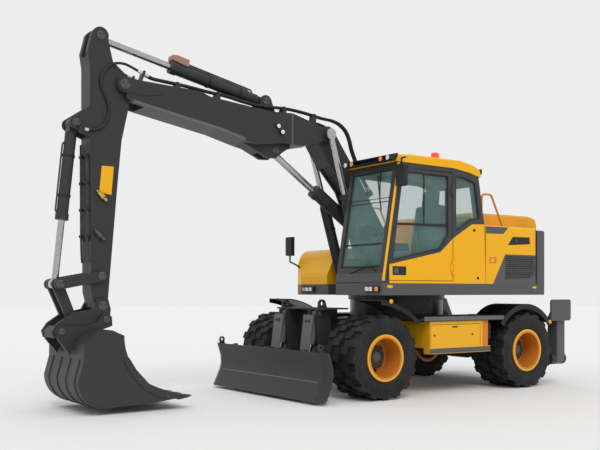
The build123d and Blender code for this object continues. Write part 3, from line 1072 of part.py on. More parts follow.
# Bucket: bowl with a rolled back, side walls, wear straps, ears with the coupler pins, and teeth
BUCKET_HALF = 540.0
BUCKET_WALL = 26.0
LIP = past(ARM_END, -869, -1033)
HEEL = past(ARM_END, 41, -1094)
BACK = past(ARM_END, 428, -791)
SHOULDER = past(ARM_END, 368, -575)
BROW = past(ARM_END, -99, -322)
EAR_Y = COUPLER_HALF + 5
EAR_WALL = 40.0
MOUTH = moved([(-41, -200), (-1035, -200), (-1035, -1008), (-685, -1036), (-640, -900), (-392, -795),
               (-235, -680), (-157, -560), (-105, -430), (-95, -356), (55, -290)], ARM_END)
BUCKET_EAR = moved([(-95, -226), (-90, -126), (-50, -86), (15, -86), (85, -186), (265, -221), (435, -216),
                    (525, -211), (570, -276), (525, -376), (395, -536), (345, -376), (65, -276)], ARM_END)


def bowl_back():
    """Line of the bucket's floor, rolled back and top plate, from the lip to the brow."""
    Polyline(LIP, past(ARM_END, -419, -1087), HEEL)
    ThreePointArc(HEEL, past(ARM_END, 345, -1010), BACK)
    Polyline(BACK, SHOULDER, past(ARM_END, 368, -401), past(ARM_END, 172, -262), past(ARM_END, 41, -259),
             BROW)


with BuildPart() as bucket:
    with BuildSketch(side(BUCKET_HALF)) as bowl:
        with BuildLine():
            bowl_back()
            Spline(BROW, past(ARM_END, -157, -586), past(ARM_END, -392, -862), past(ARM_END, -621, -967), LIP)
        make_face()
    extrude(bowl.sketch, amount=2 * BUCKET_HALF)
    with BuildSketch(side(BUCKET_HALF - BUCKET_WALL)) as hollow:
        with BuildLine():
            bowl_back()
            Line(BROW, LIP)
        make_face()
        offset(amount=-BUCKET_WALL, kind=Kind.INTERSECTION)
        outline(MOUTH)
    extrude(hollow.sketch, amount=2 * (BUCKET_HALF - BUCKET_WALL), mode=Mode.SUBTRACT)
    for hand in (1, -1):
        plate(BUCKET_EAR, *span(hand, EAR_Y, EAR_Y + EAR_WALL))
    for centre in COUPLER_PINS:
        disc(centre, COUPLER_PIN_R, -EAR_Y - EAR_WALL, EAR_Y + EAR_WALL)
    for y in range(-480, 481, 240):
        plate(moved([(-795, -1004), (-935, -1024), (-939, -1036), (-795, -1064)], ARM_END), y - 38, y + 38)
keep(bucket, "bucket")


# Hydraulic lines: over the boom's back and round its knee, and from the boom's tip to the arm
def hose(points, radius):
    """Line through points (x, y, z) as straight runs and tangent arcs, each as wide as its runs allow."""
    corners = [Vector(*point) for point in points]
    bends = []
    for before, corner, after in zip(corners, corners[1:], corners[2:]):
        run = min((corner - before).length, (after - corner).length)
        turn = radians((corner - before).get_angle(after - corner))
        bends.append(0.45 * run / tan(turn / 2))
    print("hose bends", [round(bend) for bend in bends])
    pipe(points, radius, bends)


with BuildPart() as boom_hoses:
    for y in BOOM_LINE_Y:
        hose([(x, y, z) for x, z in BOOM_LINE], HOSE_R)
    both_sides()
keep(boom_hoses, "boom_hoses")

with BuildPart() as arm_hoses:
    hose([(x, ARM_HALF + HOSE_R + SEAT_GAP, z) for x, z in ARM_LINE], HOSE_R)
    both_sides()
keep(arm_hoses, "arm_hoses")
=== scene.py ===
# %% [markdown]
# # A wheeled excavator, dressed over its CAD frame
# The CAD model gives every pin, plate and wheel its place.
# This file adds what a drawing leaves out: paint, rubber, glass, lines, bolts, grilles and seams.
# Each part of the machine is first described, then built, and each cell prints what it made.

# %% Load the frame
import math

import bmesh
import bpy
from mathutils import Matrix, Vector


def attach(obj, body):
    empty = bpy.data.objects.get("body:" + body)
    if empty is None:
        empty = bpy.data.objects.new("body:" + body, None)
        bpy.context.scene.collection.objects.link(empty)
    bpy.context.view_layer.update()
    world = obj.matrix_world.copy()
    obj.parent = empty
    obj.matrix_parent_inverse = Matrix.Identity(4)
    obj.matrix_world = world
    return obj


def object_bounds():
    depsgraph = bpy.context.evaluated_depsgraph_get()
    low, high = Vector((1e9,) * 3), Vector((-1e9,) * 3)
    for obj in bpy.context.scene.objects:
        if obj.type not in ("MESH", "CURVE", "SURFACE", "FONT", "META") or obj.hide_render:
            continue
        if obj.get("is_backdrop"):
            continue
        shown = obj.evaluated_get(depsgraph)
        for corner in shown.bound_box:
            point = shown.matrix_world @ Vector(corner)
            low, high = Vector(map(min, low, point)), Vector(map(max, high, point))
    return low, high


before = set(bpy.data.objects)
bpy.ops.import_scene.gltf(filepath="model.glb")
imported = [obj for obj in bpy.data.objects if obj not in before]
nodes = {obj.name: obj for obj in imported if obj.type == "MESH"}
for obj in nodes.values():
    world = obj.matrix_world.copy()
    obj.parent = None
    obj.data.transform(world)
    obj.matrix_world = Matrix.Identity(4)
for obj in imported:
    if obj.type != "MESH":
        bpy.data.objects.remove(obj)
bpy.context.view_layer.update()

# %% [markdown]
# ## Where things are counted from
# An excavator is drawn from the axis on which it swings, and the frame's own origin lies elsewhere.
# So every place below is written from the swing axis, in metres, and one function turns it into the frame's.
# The two axles and the two sides come up again and again, so they get their names here.

# %% Places
SWING_X = -1.434
WHEEL_Z = 0.52
AXLES = {"front": 1.3, "rear": -1.3}
SIDES = (("left", 1), ("right", -1))


def at(x, y, z):
    """Point measured from the swing axis, as every drawing of the machine is."""
    return Vector((SWING_X + x, y, z))


def across(hand, inner, outer):
    """Two distances from the middle on one side of the machine, as its low and high y."""
    return sorted((hand * inner, hand * outer))


print("front axle at", [round(v, 3) for v in at(AXLES["front"], 0, WHEEL_Z)])

# %% [markdown]
# ## Camera
# The picture was taken from far off, at chest height, from beside the blade on the cab's side.
# A tilted camera would make the uprights lean together, so this one stays level.
# The lens is shifted instead, which brings the boom into the frame and keeps the cab's posts parallel.

# %% Camera
camera_data = bpy.data.cameras.new("photo_camera")
camera_data.lens = 51.48
camera_data.sensor_width = 36.0
camera_data.shift_x = 0.05
camera_data.shift_y = 0.1108
camera_data.clip_end = 200.0
camera = bpy.data.objects.new("photo_camera", camera_data)
bpy.context.scene.collection.objects.link(camera)
camera.location = at(8.311, 9.210, 1.337)
camera.rotation_mode = "QUATERNION"
camera.rotation_quaternion = Vector((-0.555, -0.832, 0.0)).to_track_quat("-Z", "Y")
bpy.context.scene.camera = camera
bpy.context.scene.view_settings.view_transform = "Standard"
print("camera at", [round(v, 3) for v in camera.location])

# %% [markdown]
# ## Sockets that do arithmetic
# Shader maths reads best as plain expressions, such as `1 - mask * 0.4`.
# The class below wraps an output socket, and each operator adds the Math node that it stands for.
# Every other node comes from `Finish.node`: its type, its settings, then its inputs.

# %% Shader expressions
class Field:
    """Output socket of a shader tree, used in expressions."""

    def __init__(self, finish, socket):
        self.finish = finish
        self.socket = socket

    def maths(self, operation, first, second):
        return self.finish.maths(operation, first, second)

    def __add__(self, other):
        return self.maths("ADD", self, other)

    __radd__ = __add__

    def __sub__(self, other):
        return self.maths("SUBTRACT", self, other)

    def __rsub__(self, other):
        return self.maths("SUBTRACT", other, self)

    def __mul__(self, other):
        return self.maths("MULTIPLY", self, other)

    __rmul__ = __mul__

    def above(self, edge):
        return self.maths("GREATER_THAN", self, edge)

    def below(self, edge):
        return self.maths("LESS_THAN", self, edge)


class Finish:
    """Material whose Principled shader is fed by expressions."""

    def __init__(self, name, **fixed):
        self.material = bpy.data.materials.new(name)
        self.material.use_nodes = True
        self.tree = self.material.node_tree
        self.shader = self.tree.nodes["Principled BSDF"]
        for key, value in fixed.items():
            self.shader.inputs[key.replace("_", " ")].default_value = value
        self.place = Field(self, self.tree.nodes.new("ShaderNodeTexCoord").outputs["Object"])

    def node(self, kind, settings=None, inputs=None, output=0):
        made = self.tree.nodes.new(kind)
        for key, value in (settings or {}).items():
            if key == "stops":
                ramp = made.color_ramp
                while len(ramp.elements) < len(value):
                    ramp.elements.new(1.0)
                for element, (position, shade) in zip(ramp.elements, value):
                    element.position = position
                    element.color = (*shade, 1.0) if len(shade) == 3 else shade
            else:
                setattr(made, key, value)
        for key, value in (inputs or {}).items():
            if isinstance(value, Field):
                self.tree.links.new(value.socket, made.inputs[key])
            else:
                made.inputs[key].default_value = value
        return Field(self, made.outputs[output])

    def maths(self, operation, first, second):
        return self.node("ShaderNodeMath", {"operation": operation}, {0: first, 1: second})

    def noise(self, scale, detail=3.0):
        inputs = {"Vector": self.place, "Scale": scale, "Detail": detail}
        return self.node("ShaderNodeTexNoise", {}, inputs)

    def ramp(self, factor, *stops):
        return self.node("ShaderNodeValToRGB", {"stops": stops}, {"Fac": factor})

    def mix(self, factor, first, second):
        """Blend of two colours, each a field or three numbers.

        Sockets 6 and 7 of the node take its colours, and its output 2 gives their blend.
        """
        def shade(value):
            return value if isinstance(value, Field) else (*value, 1.0)
        inputs = {0: factor, 6: shade(first), 7: shade(second)}
        return self.node("ShaderNodeMix", {"data_type": "RGBA"}, inputs, 2)

    def axes(self):
        """The three coordinates, x counted from the swing axis."""
        x, y, z = (self.node("ShaderNodeSeparateXYZ", {}, {"Vector": self.place}, i) for i in range(3))
        return x - SWING_X, y, z

    def broken_line(self, value, points, values, results):
        """Straight runs through points (value, result).

        The curve node works between 0 and 1, so values are scaled by their range and results by theirs.
        """
        (a0, a1), (b0, b1) = values, results
        found = self.node("ShaderNodeFloatCurve", {}, {"Value": (value - a0) * (1.0 / (a1 - a0))})
        curve = found.socket.node.mapping.curves[0]
        for index, (a, b) in enumerate(points):
            spot = ((a - a0) / (a1 - a0), (b - b0) / (b1 - b0))
            if index < 2:
                curve.points[index].location = spot
            else:
                curve.points.new(*spot)
        for point in curve.points:
            point.handle_type = "VECTOR"
        found.socket.node.mapping.update()
        return found * (b1 - b0) + b0

    def bump(self, height, strength, distance):
        inputs = {"Strength": strength, "Distance": distance, "Height": height}
        return self.node("ShaderNodeBump", {}, inputs)

    def feed(self, **links):
        """Link fields to the shader's sockets, written with _ for a space, and return the material."""
        for key, value in links.items():
            self.tree.links.new(value.socket, self.shader.inputs[key.replace("_", " ")])
        return self.material


def srgb(r, g, b):
    """Linear colour of an 8-bit one."""
    def linear(value):
        value /= 255.0
        return value / 12.92 if value <= 0.04045 else ((value + 0.055) / 1.055) ** 2.4
    return (linear(r), linear(g), linear(b))


def times(colour, factor):
    """A darker or a lighter tone of a colour."""
    return tuple(value * factor for value in colour)


print("shader helpers ready")

# %% [markdown]
# ## Paint
# Sprayed enamel has a fine orange-peel skin, a clear gloss, and small shifts of shade from panel to panel.
# Dust settles on it low down. Each colour could be a material of its own, made by hand.
# One recipe with a colour and a gloss keeps all the paints alike, as they are when one shop sprays them.

# %% The paint recipe
DUST = srgb(150, 140, 126)
DUST_TOP = 1.1


def paint(name, colour, gloss, peel=0.12, dust=0.25, shift=0.10, others=()):
    """Enamel with a slow shift of shade, a little dust near the ground, and an orange-peel bump.

    others are (mask, colour) pairs, where mask makes a field that is 1 where that colour is sprayed.
    """
    coat = 0.12 if gloss < 0.4 else 0.0
    made = Finish(name, Roughness=gloss, Specular_IOR_Level=0.22, Coat_Weight=coat, Coat_Roughness=0.1)
    slow = made.noise(1.7, 2.0)
    shade = made.mix(slow * shift, colour, times(colour, 0.55))
    for mask, second in others:
        shade = made.mix(mask(made), shade, made.mix(slow * shift, second, times(second, 0.55)))
    height = made.node("ShaderNodeSeparateXYZ", {}, {"Vector": made.place}, 2)
    heights = {"Value": height, "From Min": DUST_TOP, "From Max": 0.0}
    low = made.node("ShaderNodeMapRange", {"clamp": True}, heights)
    specks = made.ramp(made.noise(38.0, 5.0), (0.46, (0.0, 0.0, 0.0)), (0.72, (1.0, 1.0, 1.0)))
    film = low * dust * (specks * 0.6 + 0.4)
    made.feed(
        Base_Color=made.mix(film, shade, DUST),
        Roughness=film * 0.5 + (made.noise(9.0, 3.0) * 0.10 + (gloss - 0.05)),
        Normal=made.bump(made.noise(620.0, 1.0), peel, 0.0006),
    )
    return made.material


print("dust ends", DUST_TOP, "m above the ground")

# %% [markdown]
# ## Where one panel has two colours
# The cab's side is yellow under its windows and dark around them, and the grey corner crosses a yellow panel.
# Cutting the panels along those lines would leave seams that the real sheets don't have.
# So each panel stays whole, and a mask over its coordinates tells the paint where the second colour starts.

# %% Masks of the two-coloured panels
PANEL_Y = 1.2


def outer_side(y):
    """1 on the skins of both sides, 0 further in."""
    return (y * y).above(PANEL_Y * PANEL_Y)


def lower_cab(made):
    """The cab's outer side under the sweeping line of its windows."""
    x, y, z = made.axes()
    sweep = [(-0.6, 2.233), (1.4, 1.640), (-0.412, 2.233), (-0.213, 2.224), (0.135, 2.028), (0.362, 1.843),
             (1.227, 1.673)]
    line = made.broken_line(x, sweep, (-0.6, 1.4), (1.4, 2.4))
    return (line - z).above(0.0) * y.above(1.15) * x.below(1.232)


def grille_panel(made):
    """The grey corner panel round the grille, on both sides."""
    x, y, z = made.axes()
    lean = 0.602
    leaning = (x + z * lean).below(-0.62 + 1.44 * lean)
    return z.below(1.845) * leaning * x.above(-1.492) * outer_side(y)


def mesh_hollow_shade(made):
    """Near-black patch behind the grille's mesh: the dark louvres together with painted shade of the hollow.
    """
    x, y, z = made.axes()
    inside = z.above(1.513) * z.below(1.830) * x.below(-0.868) * x.above(-1.470)
    return inside * (x + z * 2.0).above(1.684) * outer_side(y)


def within(axle, radius):
    """Mask of all that is nearer to a wheel's axis than a radius."""
    def mask(made):
        x, y, z = made.axes()
        return ((x - axle) * (x - axle) + (z - WHEEL_Z) * (z - WHEEL_Z)).below(radius * radius)
    return mask


print("masks: lower cab, grille panel, mesh well, wheel discs")

# %% [markdown]
# ## The machine's colours
# The body and the rims are a warm yellow, rails are orange, and the working gear is charcoal with greys
# beside it.
# Colours are typed as 8-bit values, as a colour picker shows them, and `srgb` makes them linear.
# The front and rear rims need a paint each, because their two discs of colour are masks round one axle: an
# orange disc of painted shade over the shadowed barrel and dish, and the hub's own dark grey.

# %% Paints
YELLOW = srgb(234, 170, 0)
ORANGE = srgb(206, 122, 10)
GRAPHITE = srgb(82, 82, 83)
RIM_RADIUS = 0.266
HUB_RADIUS = 0.134

yellow = paint("yellow enamel", YELLOW, 0.30)
orange = paint("orange enamel", ORANGE, 0.36)
charcoal = paint("charcoal enamel", srgb(52, 52, 53), 0.42, dust=0.05)
graphite = paint("graphite enamel", GRAPHITE, 0.40)
ash = paint("ash grey enamel", srgb(96, 97, 98), 0.42)
guard_black = paint("black enamel", srgb(22, 22, 23), 0.32, dust=0.15)
salmon = paint("salmon primer", srgb(158, 118, 106), 0.55)
cab_enamel = paint("cab enamel", srgb(56, 57, 58), 0.36, others=((lower_cab, YELLOW),))
# The near-black behind the grille is painted shade of the hollow over the dark louvres.
panel_enamel = paint("side panel enamel", YELLOW, 0.30,
                     others=((grille_panel, GRAPHITE), (mesh_hollow_shade, srgb(17, 17, 18))))
# The hood's darker, oranger yellow is painted shade of the body yellow, for the hood set back behind the
# handrail with its side in shadow.
hood_shaded_yellow = paint("hood shaded yellow", srgb(226, 154, 22), 0.32)
wheel_paint_and_shade = {}
for end, axle in AXLES.items():
    # Orange inside the flange is painted shade on the barrel and dish; the dark grey is the hub's own colour.
    shade_disc_and_hub = ((within(axle, RIM_RADIUS), ORANGE), (within(axle, HUB_RADIUS), srgb(60, 60, 61)))
    wheel_paint_and_shade[end] = paint(f"wheel paint and shade {end}", YELLOW, 0.30, dust=0.3, others=shade_disc_and_hub)
print("paints:", len(bpy.data.materials))

# %% [markdown]
# ## Rubber and steel
# Tyre rubber is matt and slightly brown with dust, rods are hard chrome, and cast steel is rough.
# One grey for all would look like plastic, since what tells metals apart is how they blur a reflection.
# So each has its own roughness, and a noise shifts it a little from place to place.

# %% Rubber and steel
def rubber(end):
    """Tyre rubber with fine rings moulded into the side wall, round its own axle."""
    made = Finish(f"tyre rubber {end}", Roughness=0.78, Specular_IOR_Level=0.3)
    dusty = made.ramp(made.noise(6.0, 6.0), (0.40, srgb(27, 27, 28)), (0.75, srgb(44, 43, 42)))
    x, y, z = made.axes()
    x = x - AXLES[end]
    z = z - WHEEL_Z
    reach = made.maths("SQRT", x * x + z * z, 0.0)
    ribs = made.maths("SINE", reach * 420.0, 0.0) * reach.below(0.44) * 0.5
    made.feed(Base_Color=dusty, Roughness=made.noise(20.0) * 0.2 + 0.62,
              Normal=made.bump(ribs + made.noise(160.0, 4.0) * 0.4, 0.5, 0.003))
    return made.material


def chrome():
    made = Finish("hard chrome", Metallic=1.0)
    ring = made.noise(90.0, 2.0)
    made.feed(Base_Color=made.ramp(ring, (0.3, srgb(150, 152, 155)), (0.7, srgb(196, 198, 201))),
              Roughness=ring * 0.12 + 0.10)
    return made.material


def bare_steel():
    made = Finish("worn steel", Metallic=0.6)
    patch = made.noise(7.0, 6.0)
    made.feed(Base_Color=made.ramp(patch, (0.35, srgb(58, 58, 60)), (0.7, srgb(96, 95, 94))),
              Roughness=patch * 0.3 + 0.35,
              Normal=made.bump(made.noise(210.0, 4.0), 0.3, 0.001))
    return made.material


def cast_iron():
    made = Finish("cast iron", Roughness=0.7)
    made.feed(Base_Color=made.ramp(made.noise(12.0, 5.0), (0.3, srgb(40, 41, 42)), (0.7, srgb(66, 66, 66))),
              Normal=made.bump(made.noise(260.0, 3.0), 0.4, 0.0012))
    return made.material


def machined_brass():
    made = Finish("brass", Metallic=1.0)
    cut = made.noise(60.0, 3.0)
    made.feed(Base_Color=made.ramp(cut, (0.3, srgb(190, 150, 70)), (0.7, srgb(226, 190, 104))),
              Roughness=cut * 0.15 + 0.2)
    return made.material


tyre_rubber = {end: rubber(end) for end in AXLES}
rod_chrome = chrome()
worn_steel = bare_steel()
iron = cast_iron()
brass = machined_brass()
print("finishes:", len(bpy.data.materials))

# %% [markdown]
# ## Glass, mouldings, lenses and cloth
# The panes are tinted a cool mint. They could be traced with refraction, but thin panes hardly bend light.
# A low alpha therefore shows the seat through them, costs less time, and survives the export.
# Mouldings have a fine grain, lenses have prisms, and the seat's cloth has threads that cross.

# %% Glass, plastics and cloth
def tinted_glass():
    made = Finish("mint glass", Roughness=0.04, IOR=1.45, Specular_IOR_Level=0.3)
    smear = made.noise(3.0, 3.0)
    made.feed(Base_Color=made.ramp(smear, (0.3, srgb(128, 166, 160)), (0.7, srgb(146, 184, 178))),
              Alpha=smear * 0.05 + 0.15)
    return made.material


def moulded(name, colour, rough):
    """Moulded rubber or plastic with a fine grain, a little paler in patches."""
    made = Finish(name, Roughness=rough, Specular_IOR_Level=0.3)
    grain = made.noise(420.0, 2.0)
    pale = tuple(value * 1.7 + 0.004 for value in colour)
    made.feed(Base_Color=made.mix(made.noise(4.0) * 0.3, colour, pale),
              Roughness=grain * 0.12 + (rough - 0.06), Normal=made.bump(grain, 0.3, 0.0006))
    return made.material


def lens(name, colour, glow=0.0):
    """Lamp lens with upright prisms; a small glow stands for the light that it scatters."""
    made = Finish(name, Roughness=0.12, Coat_Weight=0.6, Emission_Strength=glow)
    prism = made.node("ShaderNodeTexWave", {"bands_direction": "Y"}, {"Vector": made.place, "Scale": 60.0})
    made.feed(Base_Color=made.mix(prism * 0.4, colour, times(colour, 0.5)),
              Normal=made.bump(prism, 0.4, 0.002),
              Emission_Color=made.mix(prism * 0.3, colour, (0.0, 0.0, 0.0)))
    return made.material


def woven():
    """Seat cloth: two sets of threads, where the upper one shows."""
    made = Finish("seat cloth", Roughness=0.85, Sheen_Weight=0.3)
    thread = {"Vector": made.place, "Scale": 260.0}
    weft, warp = (made.node("ShaderNodeTexWave", {"bands_direction": way}, thread) for way in "YX")
    weave = made.maths("MAXIMUM", weft, warp)
    made.feed(Base_Color=made.mix(weave * 0.6, srgb(46, 47, 50), srgb(78, 80, 84)),
              Roughness=weave * 0.1 + 0.8, Normal=made.bump(weave, 0.5, 0.001))
    return made.material


glass = tinted_glass()
hose_rubber = moulded("hose rubber", srgb(34, 34, 36), 0.48)
black_plastic = moulded("black moulding", srgb(30, 31, 33), 0.55)
sleeve = moulded("pale sleeve", srgb(196, 198, 198), 0.4)
amber = lens("amber lens", srgb(240, 140, 20), 0.1)
red_lens = lens("red beacon dome", srgb(236, 66, 28), 0.35)
clear_lens = lens("clear lens", srgb(214, 218, 220), 0.1)
seat_cloth = woven()
print("finishes:", len(bpy.data.materials))

# %% [markdown]
# ## Finish of every CAD node
# Most of the solids already have the real shape, so they only need the right finish.
# A table from finish to names shows the whole colour scheme at a glance, which a line for each node wouldn't.

# %% Dress the nodes
DRESS = {
    yellow: ["toolboxes", "tank_hood", "cab_roof"],
    hood_shaded_yellow: ["engine_hood"],
    panel_enamel: ["body_panels"],
    cab_enamel: ["cab_shell", "cab_door"],
    orange: ["handrails"],
    ash: ["blade_barrels"],
    guard_black: ["fenders", "slew_ring"],
    graphite: ["slew_platform", "counterweight", "outrigger_left", "outrigger_right"],
    charcoal: [
        "chassis_frame", "front_axle", "rear_axle", "knuckle_left", "knuckle_right", "blade_bracket", "blade",
        "outrigger_carrier", "leg_barrel_left", "leg_barrel_right", "lower_boom", "main_boom", "arm",
        "lift_barrel", "adjust_barrel", "arm_barrel", "bucket_barrel", "bucket_lever", "bucket_link",
        "quick_coupler", "bucket",
    ],
    rod_chrome: [
        "blade_rods", "leg_rod_left", "leg_rod_right", "lift_rod", "adjust_rod", "arm_rod", "bucket_rod",
    ],
    hose_rubber: ["boom_hoses", "arm_hoses"],
    iron: ["engine_block"],
    glass: ["cab_glass", "door_glass"],
    black_plastic: ["cab_interior", "mirrors", "work_lamps"],
    red_lens: ["beacon"],
}
for end in AXLES:
    DRESS[wheel_paint_and_shade[end]] = [f"rims_{end}_{side}" for side, hand in SIDES]
    DRESS[tyre_rubber[end]] = [f"tyres_{end}_{side}" for side, hand in SIDES]
for finish, names in DRESS.items():
    for name in names:
        solid = nodes[name]
        solid.data.materials.clear()
        solid.data.materials.append(finish)
print("dressed", sum(len(names) for names in DRESS.values()), "of", len(nodes), "nodes")

# %% [markdown]
# ## Plates and blocks
# Most of what the CAD leaves out is cut from sheet: seams, straps, strips and small plates.
# Each could be modelled by hand, but an outline pushed along one axis says the same in a line of numbers.
# Its edges get a small bevel, because an edge that is truly sharp catches no light.
# Each piece rides on the CAD body that carries it, so it follows that body's joint.

# %% Tools for plates
PIECES = []


def tell(cell):
    """Print how many pieces there are after a cell, and the last one."""
    print(f"{cell}: {len(PIECES)} pieces so far, the last one {PIECES[-1]}")


def piece(name, mesh, finish, body, smooth=False):
    """Object made of one mesh, in one finish, that moves with a CAD body."""
    mesh.materials.clear()
    mesh.materials.append(finish)
    if smooth:
        mesh.shade_smooth()
        mesh.set_sharp_from_angle(angle=math.radians(40))
    thing = bpy.data.objects.new(name, mesh)
    bpy.context.scene.collection.objects.link(thing)
    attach(thing, body)
    PIECES.append(name)
    return thing


def plate(name, outline, low, high, finish, body, along="y", edge=0.003):
    """Outline extruded along one axis between two values, with its edges broken."""
    spot = {
        "x": lambda a, b, c: at(c, a, b),
        "y": lambda a, b, c: at(a, c, b),
        "z": lambda a, b, c: at(a, b, c),
    }[along]
    shape = bmesh.new()
    first = [shape.verts.new(spot(a, b, low)) for a, b in outline]
    last = [shape.verts.new(spot(a, b, high)) for a, b in outline]
    shape.faces.new(first)
    shape.faces.new(last)
    for i in range(len(outline)):
        j = (i + 1) % len(outline)
        shape.faces.new((first[i], first[j], last[j], last[i]))
    bmesh.ops.recalc_face_normals(shape, faces=shape.faces[:])
    bmesh.ops.bevel(shape, geom=shape.edges[:], offset=edge, segments=2, affect="EDGES", profile=0.5)
    mesh = bpy.data.meshes.new(name)
    shape.to_mesh(mesh)
    shape.free()
    return piece(name, mesh, finish, body)


def rectangle(a0, b0, a1, b1):
    """Outline of a rectangle between two opposite corners."""
    return [(a0, b0), (a1, b0), (a1, b1), (a0, b1)]


def bar(name, x, y, z, finish, body, edge=0.004):
    """Bevelled block between pairs of x, y and z."""
    return plate(name, rectangle(x[0], z[0], x[1], z[1]), *y, finish, body, "y", edge)


print("plate tools ready")

# %% [markdown]
# ## Turned forms and tubes
# Caps, pins, lamps and sleeves are made on a lathe, so each is a half section turned round its own axis.
# Lines, seals and wipers are bent from round bar, so each is a tube along a few points.
# A curve object bends a tube most easily. It is made a mesh at once, so that every piece is plain geometry.

# %% Tools for turned forms and tubes
POLE = 0.0001


def button(radius, side, height, face, crown=0.0):
    """Half section of a low round cap: a straight side, a chamfer up to its face, and the face's crown."""
    return [(0.0, radius), (side, radius), (height, face), (height + crown, POLE)]


def circle(centre, way, radius, along, count, start=0.0):
    """Points evenly round a circle that faces a way, a distance along it from the centre."""
    facing = Vector(way).to_track_quat("Z", "Y").to_matrix()
    spots = []
    for step in range(count):
        turn = start + 2 * math.pi * step / count
        spots.append(centre + facing @ Vector((radius * math.cos(turn), radius * math.sin(turn), along)))
    return spots


def turned(name, section, centre, way, finish, body, count=32, hollow=False):
    """Half section of (distance along the axis, radius) turned round an axis through a point.

    A solid form is closed by end faces, a hollow one by joining its section's end to its start.
    """
    shape = bmesh.new()
    rings = []
    for along, radius in section:
        rings.append([shape.verts.new(spot) for spot in circle(centre, way, radius, along, count)])
    if hollow:
        rings.append(rings[0])
    else:
        shape.faces.new(rings[0])
        shape.faces.new(rings[-1])
    for one, two in zip(rings, rings[1:]):
        for i in range(count):
            j = (i + 1) % count
            shape.faces.new((one[i], one[j], two[j], two[i]))
    bmesh.ops.recalc_face_normals(shape, faces=shape.faces[:])
    mesh = bpy.data.meshes.new(name)
    shape.to_mesh(mesh)
    shape.free()
    return piece(name, mesh, finish, body, True)


def tube(name, points, radius, finish, body, closed=False, smooth=True):
    """Round bar along points (x, y, z); smooth gives flowing bends, and otherwise the corners stay."""
    line = bpy.data.curves.new(name, "CURVE")
    line.dimensions = "3D"
    line.bevel_depth = radius
    line.bevel_resolution = 3
    line.use_fill_caps = not closed
    path = line.splines.new("NURBS" if smooth else "POLY")
    path.points.add(len(points) - 1)
    for spot, place in zip(path.points, points):
        spot.co = (*at(*place), 1.0)
    path.use_cyclic_u = closed
    if smooth:
        path.use_endpoint_u = not closed
        path.order_u = 3
    holder = bpy.data.objects.new(name + "_line", line)
    bpy.context.scene.collection.objects.link(holder)
    mesh = bpy.data.meshes.new_from_object(holder)
    mesh.name = name
    bpy.data.objects.remove(holder)
    return piece(name, mesh, finish, body, True)


print("turned forms and tubes ready")

# %% [markdown]
# ## Repeated shapes
# Wheel nuts, bolt heads and the cells of a grille are one small shape, many times over.
# Copies made in a loop would work, but a node tree builds the shape once and puts it at every point.
# The points are a mesh whose attribute `way` says which way each copy faces.
# The tree ends by making the copies real and giving them their finish, and the result becomes a plain mesh.

# %% Tools for repeated shapes
def instancer(name, make_shape):
    """Node group that puts one shape at every point, turned to the point's own `way`."""
    group = bpy.data.node_groups.new(name, "GeometryNodeTree")
    inputs = {"Points": "Geometry", "Radius": "Float", "Height": "Float", "Finish": "Material"}
    for label, kind in inputs.items():
        group.interface.new_socket(label, in_out="INPUT", socket_type="NodeSocket" + kind)
    group.interface.new_socket("Made", in_out="OUTPUT", socket_type="NodeSocketGeometry")
    tree = group.nodes
    entry = tree.new("NodeGroupInput")
    leave = tree.new("NodeGroupOutput")
    shape = make_shape(group, entry)
    way = tree.new("GeometryNodeInputNamedAttribute")
    way.data_type = "FLOAT_VECTOR"
    way.inputs["Name"].default_value = "way"
    turn = tree.new("FunctionNodeAlignRotationToVector")
    turn.axis = "Z"
    placed = tree.new("GeometryNodeInstanceOnPoints")
    real = tree.new("GeometryNodeRealizeInstances")
    coat = tree.new("GeometryNodeSetMaterial")
    links = group.links
    links.new(way.outputs["Attribute"], turn.inputs["Vector"])
    links.new(entry.outputs["Points"], placed.inputs["Points"])
    links.new(shape, placed.inputs["Instance"])
    links.new(turn.outputs["Rotation"], placed.inputs["Rotation"])
    links.new(placed.outputs["Instances"], real.inputs["Geometry"])
    links.new(real.outputs["Geometry"], coat.inputs["Geometry"])
    links.new(entry.outputs["Finish"], coat.inputs["Material"])
    links.new(coat.outputs["Geometry"], leave.inputs["Made"])
    return group


def bolt_shape(group, entry):
    """Hexagon head on a washer."""
    tree, links = group.nodes, group.links
    joined = tree.new("GeometryNodeJoinGeometry")
    for sides, wide, tall in ((6, 1.0, 1.0), (20, 1.45, 0.35)):
        body = tree.new("GeometryNodeMeshCylinder")
        body.inputs["Vertices"].default_value = sides
        for socket, factor, label in (("Radius", wide, "Radius"), ("Depth", tall, "Height")):
            scaled = tree.new("ShaderNodeMath")
            scaled.operation = "MULTIPLY"
            scaled.inputs[1].default_value = factor
            links.new(entry.outputs[label], scaled.inputs[0])
            links.new(scaled.outputs[0], body.inputs[socket])
        links.new(body.outputs["Mesh"], joined.inputs["Geometry"])
    return joined.outputs["Geometry"]


def cell_shape(group, entry):
    """One six-sided cell of a mesh grille."""
    tree, links = group.nodes, group.links
    cell = tree.new("GeometryNodeCurvePrimitiveCircle")
    cell.inputs["Resolution"].default_value = 6
    links.new(entry.outputs["Radius"], cell.inputs["Radius"])
    wire = tree.new("GeometryNodeCurvePrimitiveCircle")
    wire.inputs["Resolution"].default_value = 4
    links.new(entry.outputs["Height"], wire.inputs["Radius"])
    swept = tree.new("GeometryNodeCurveToMesh")
    links.new(cell.outputs["Curve"], swept.inputs["Curve"])
    links.new(wire.outputs["Curve"], swept.inputs["Profile Curve"])
    return swept.outputs["Mesh"]


BOLTS = instancer("bolts", bolt_shape)
CELLS = instancer("grille cells", cell_shape)


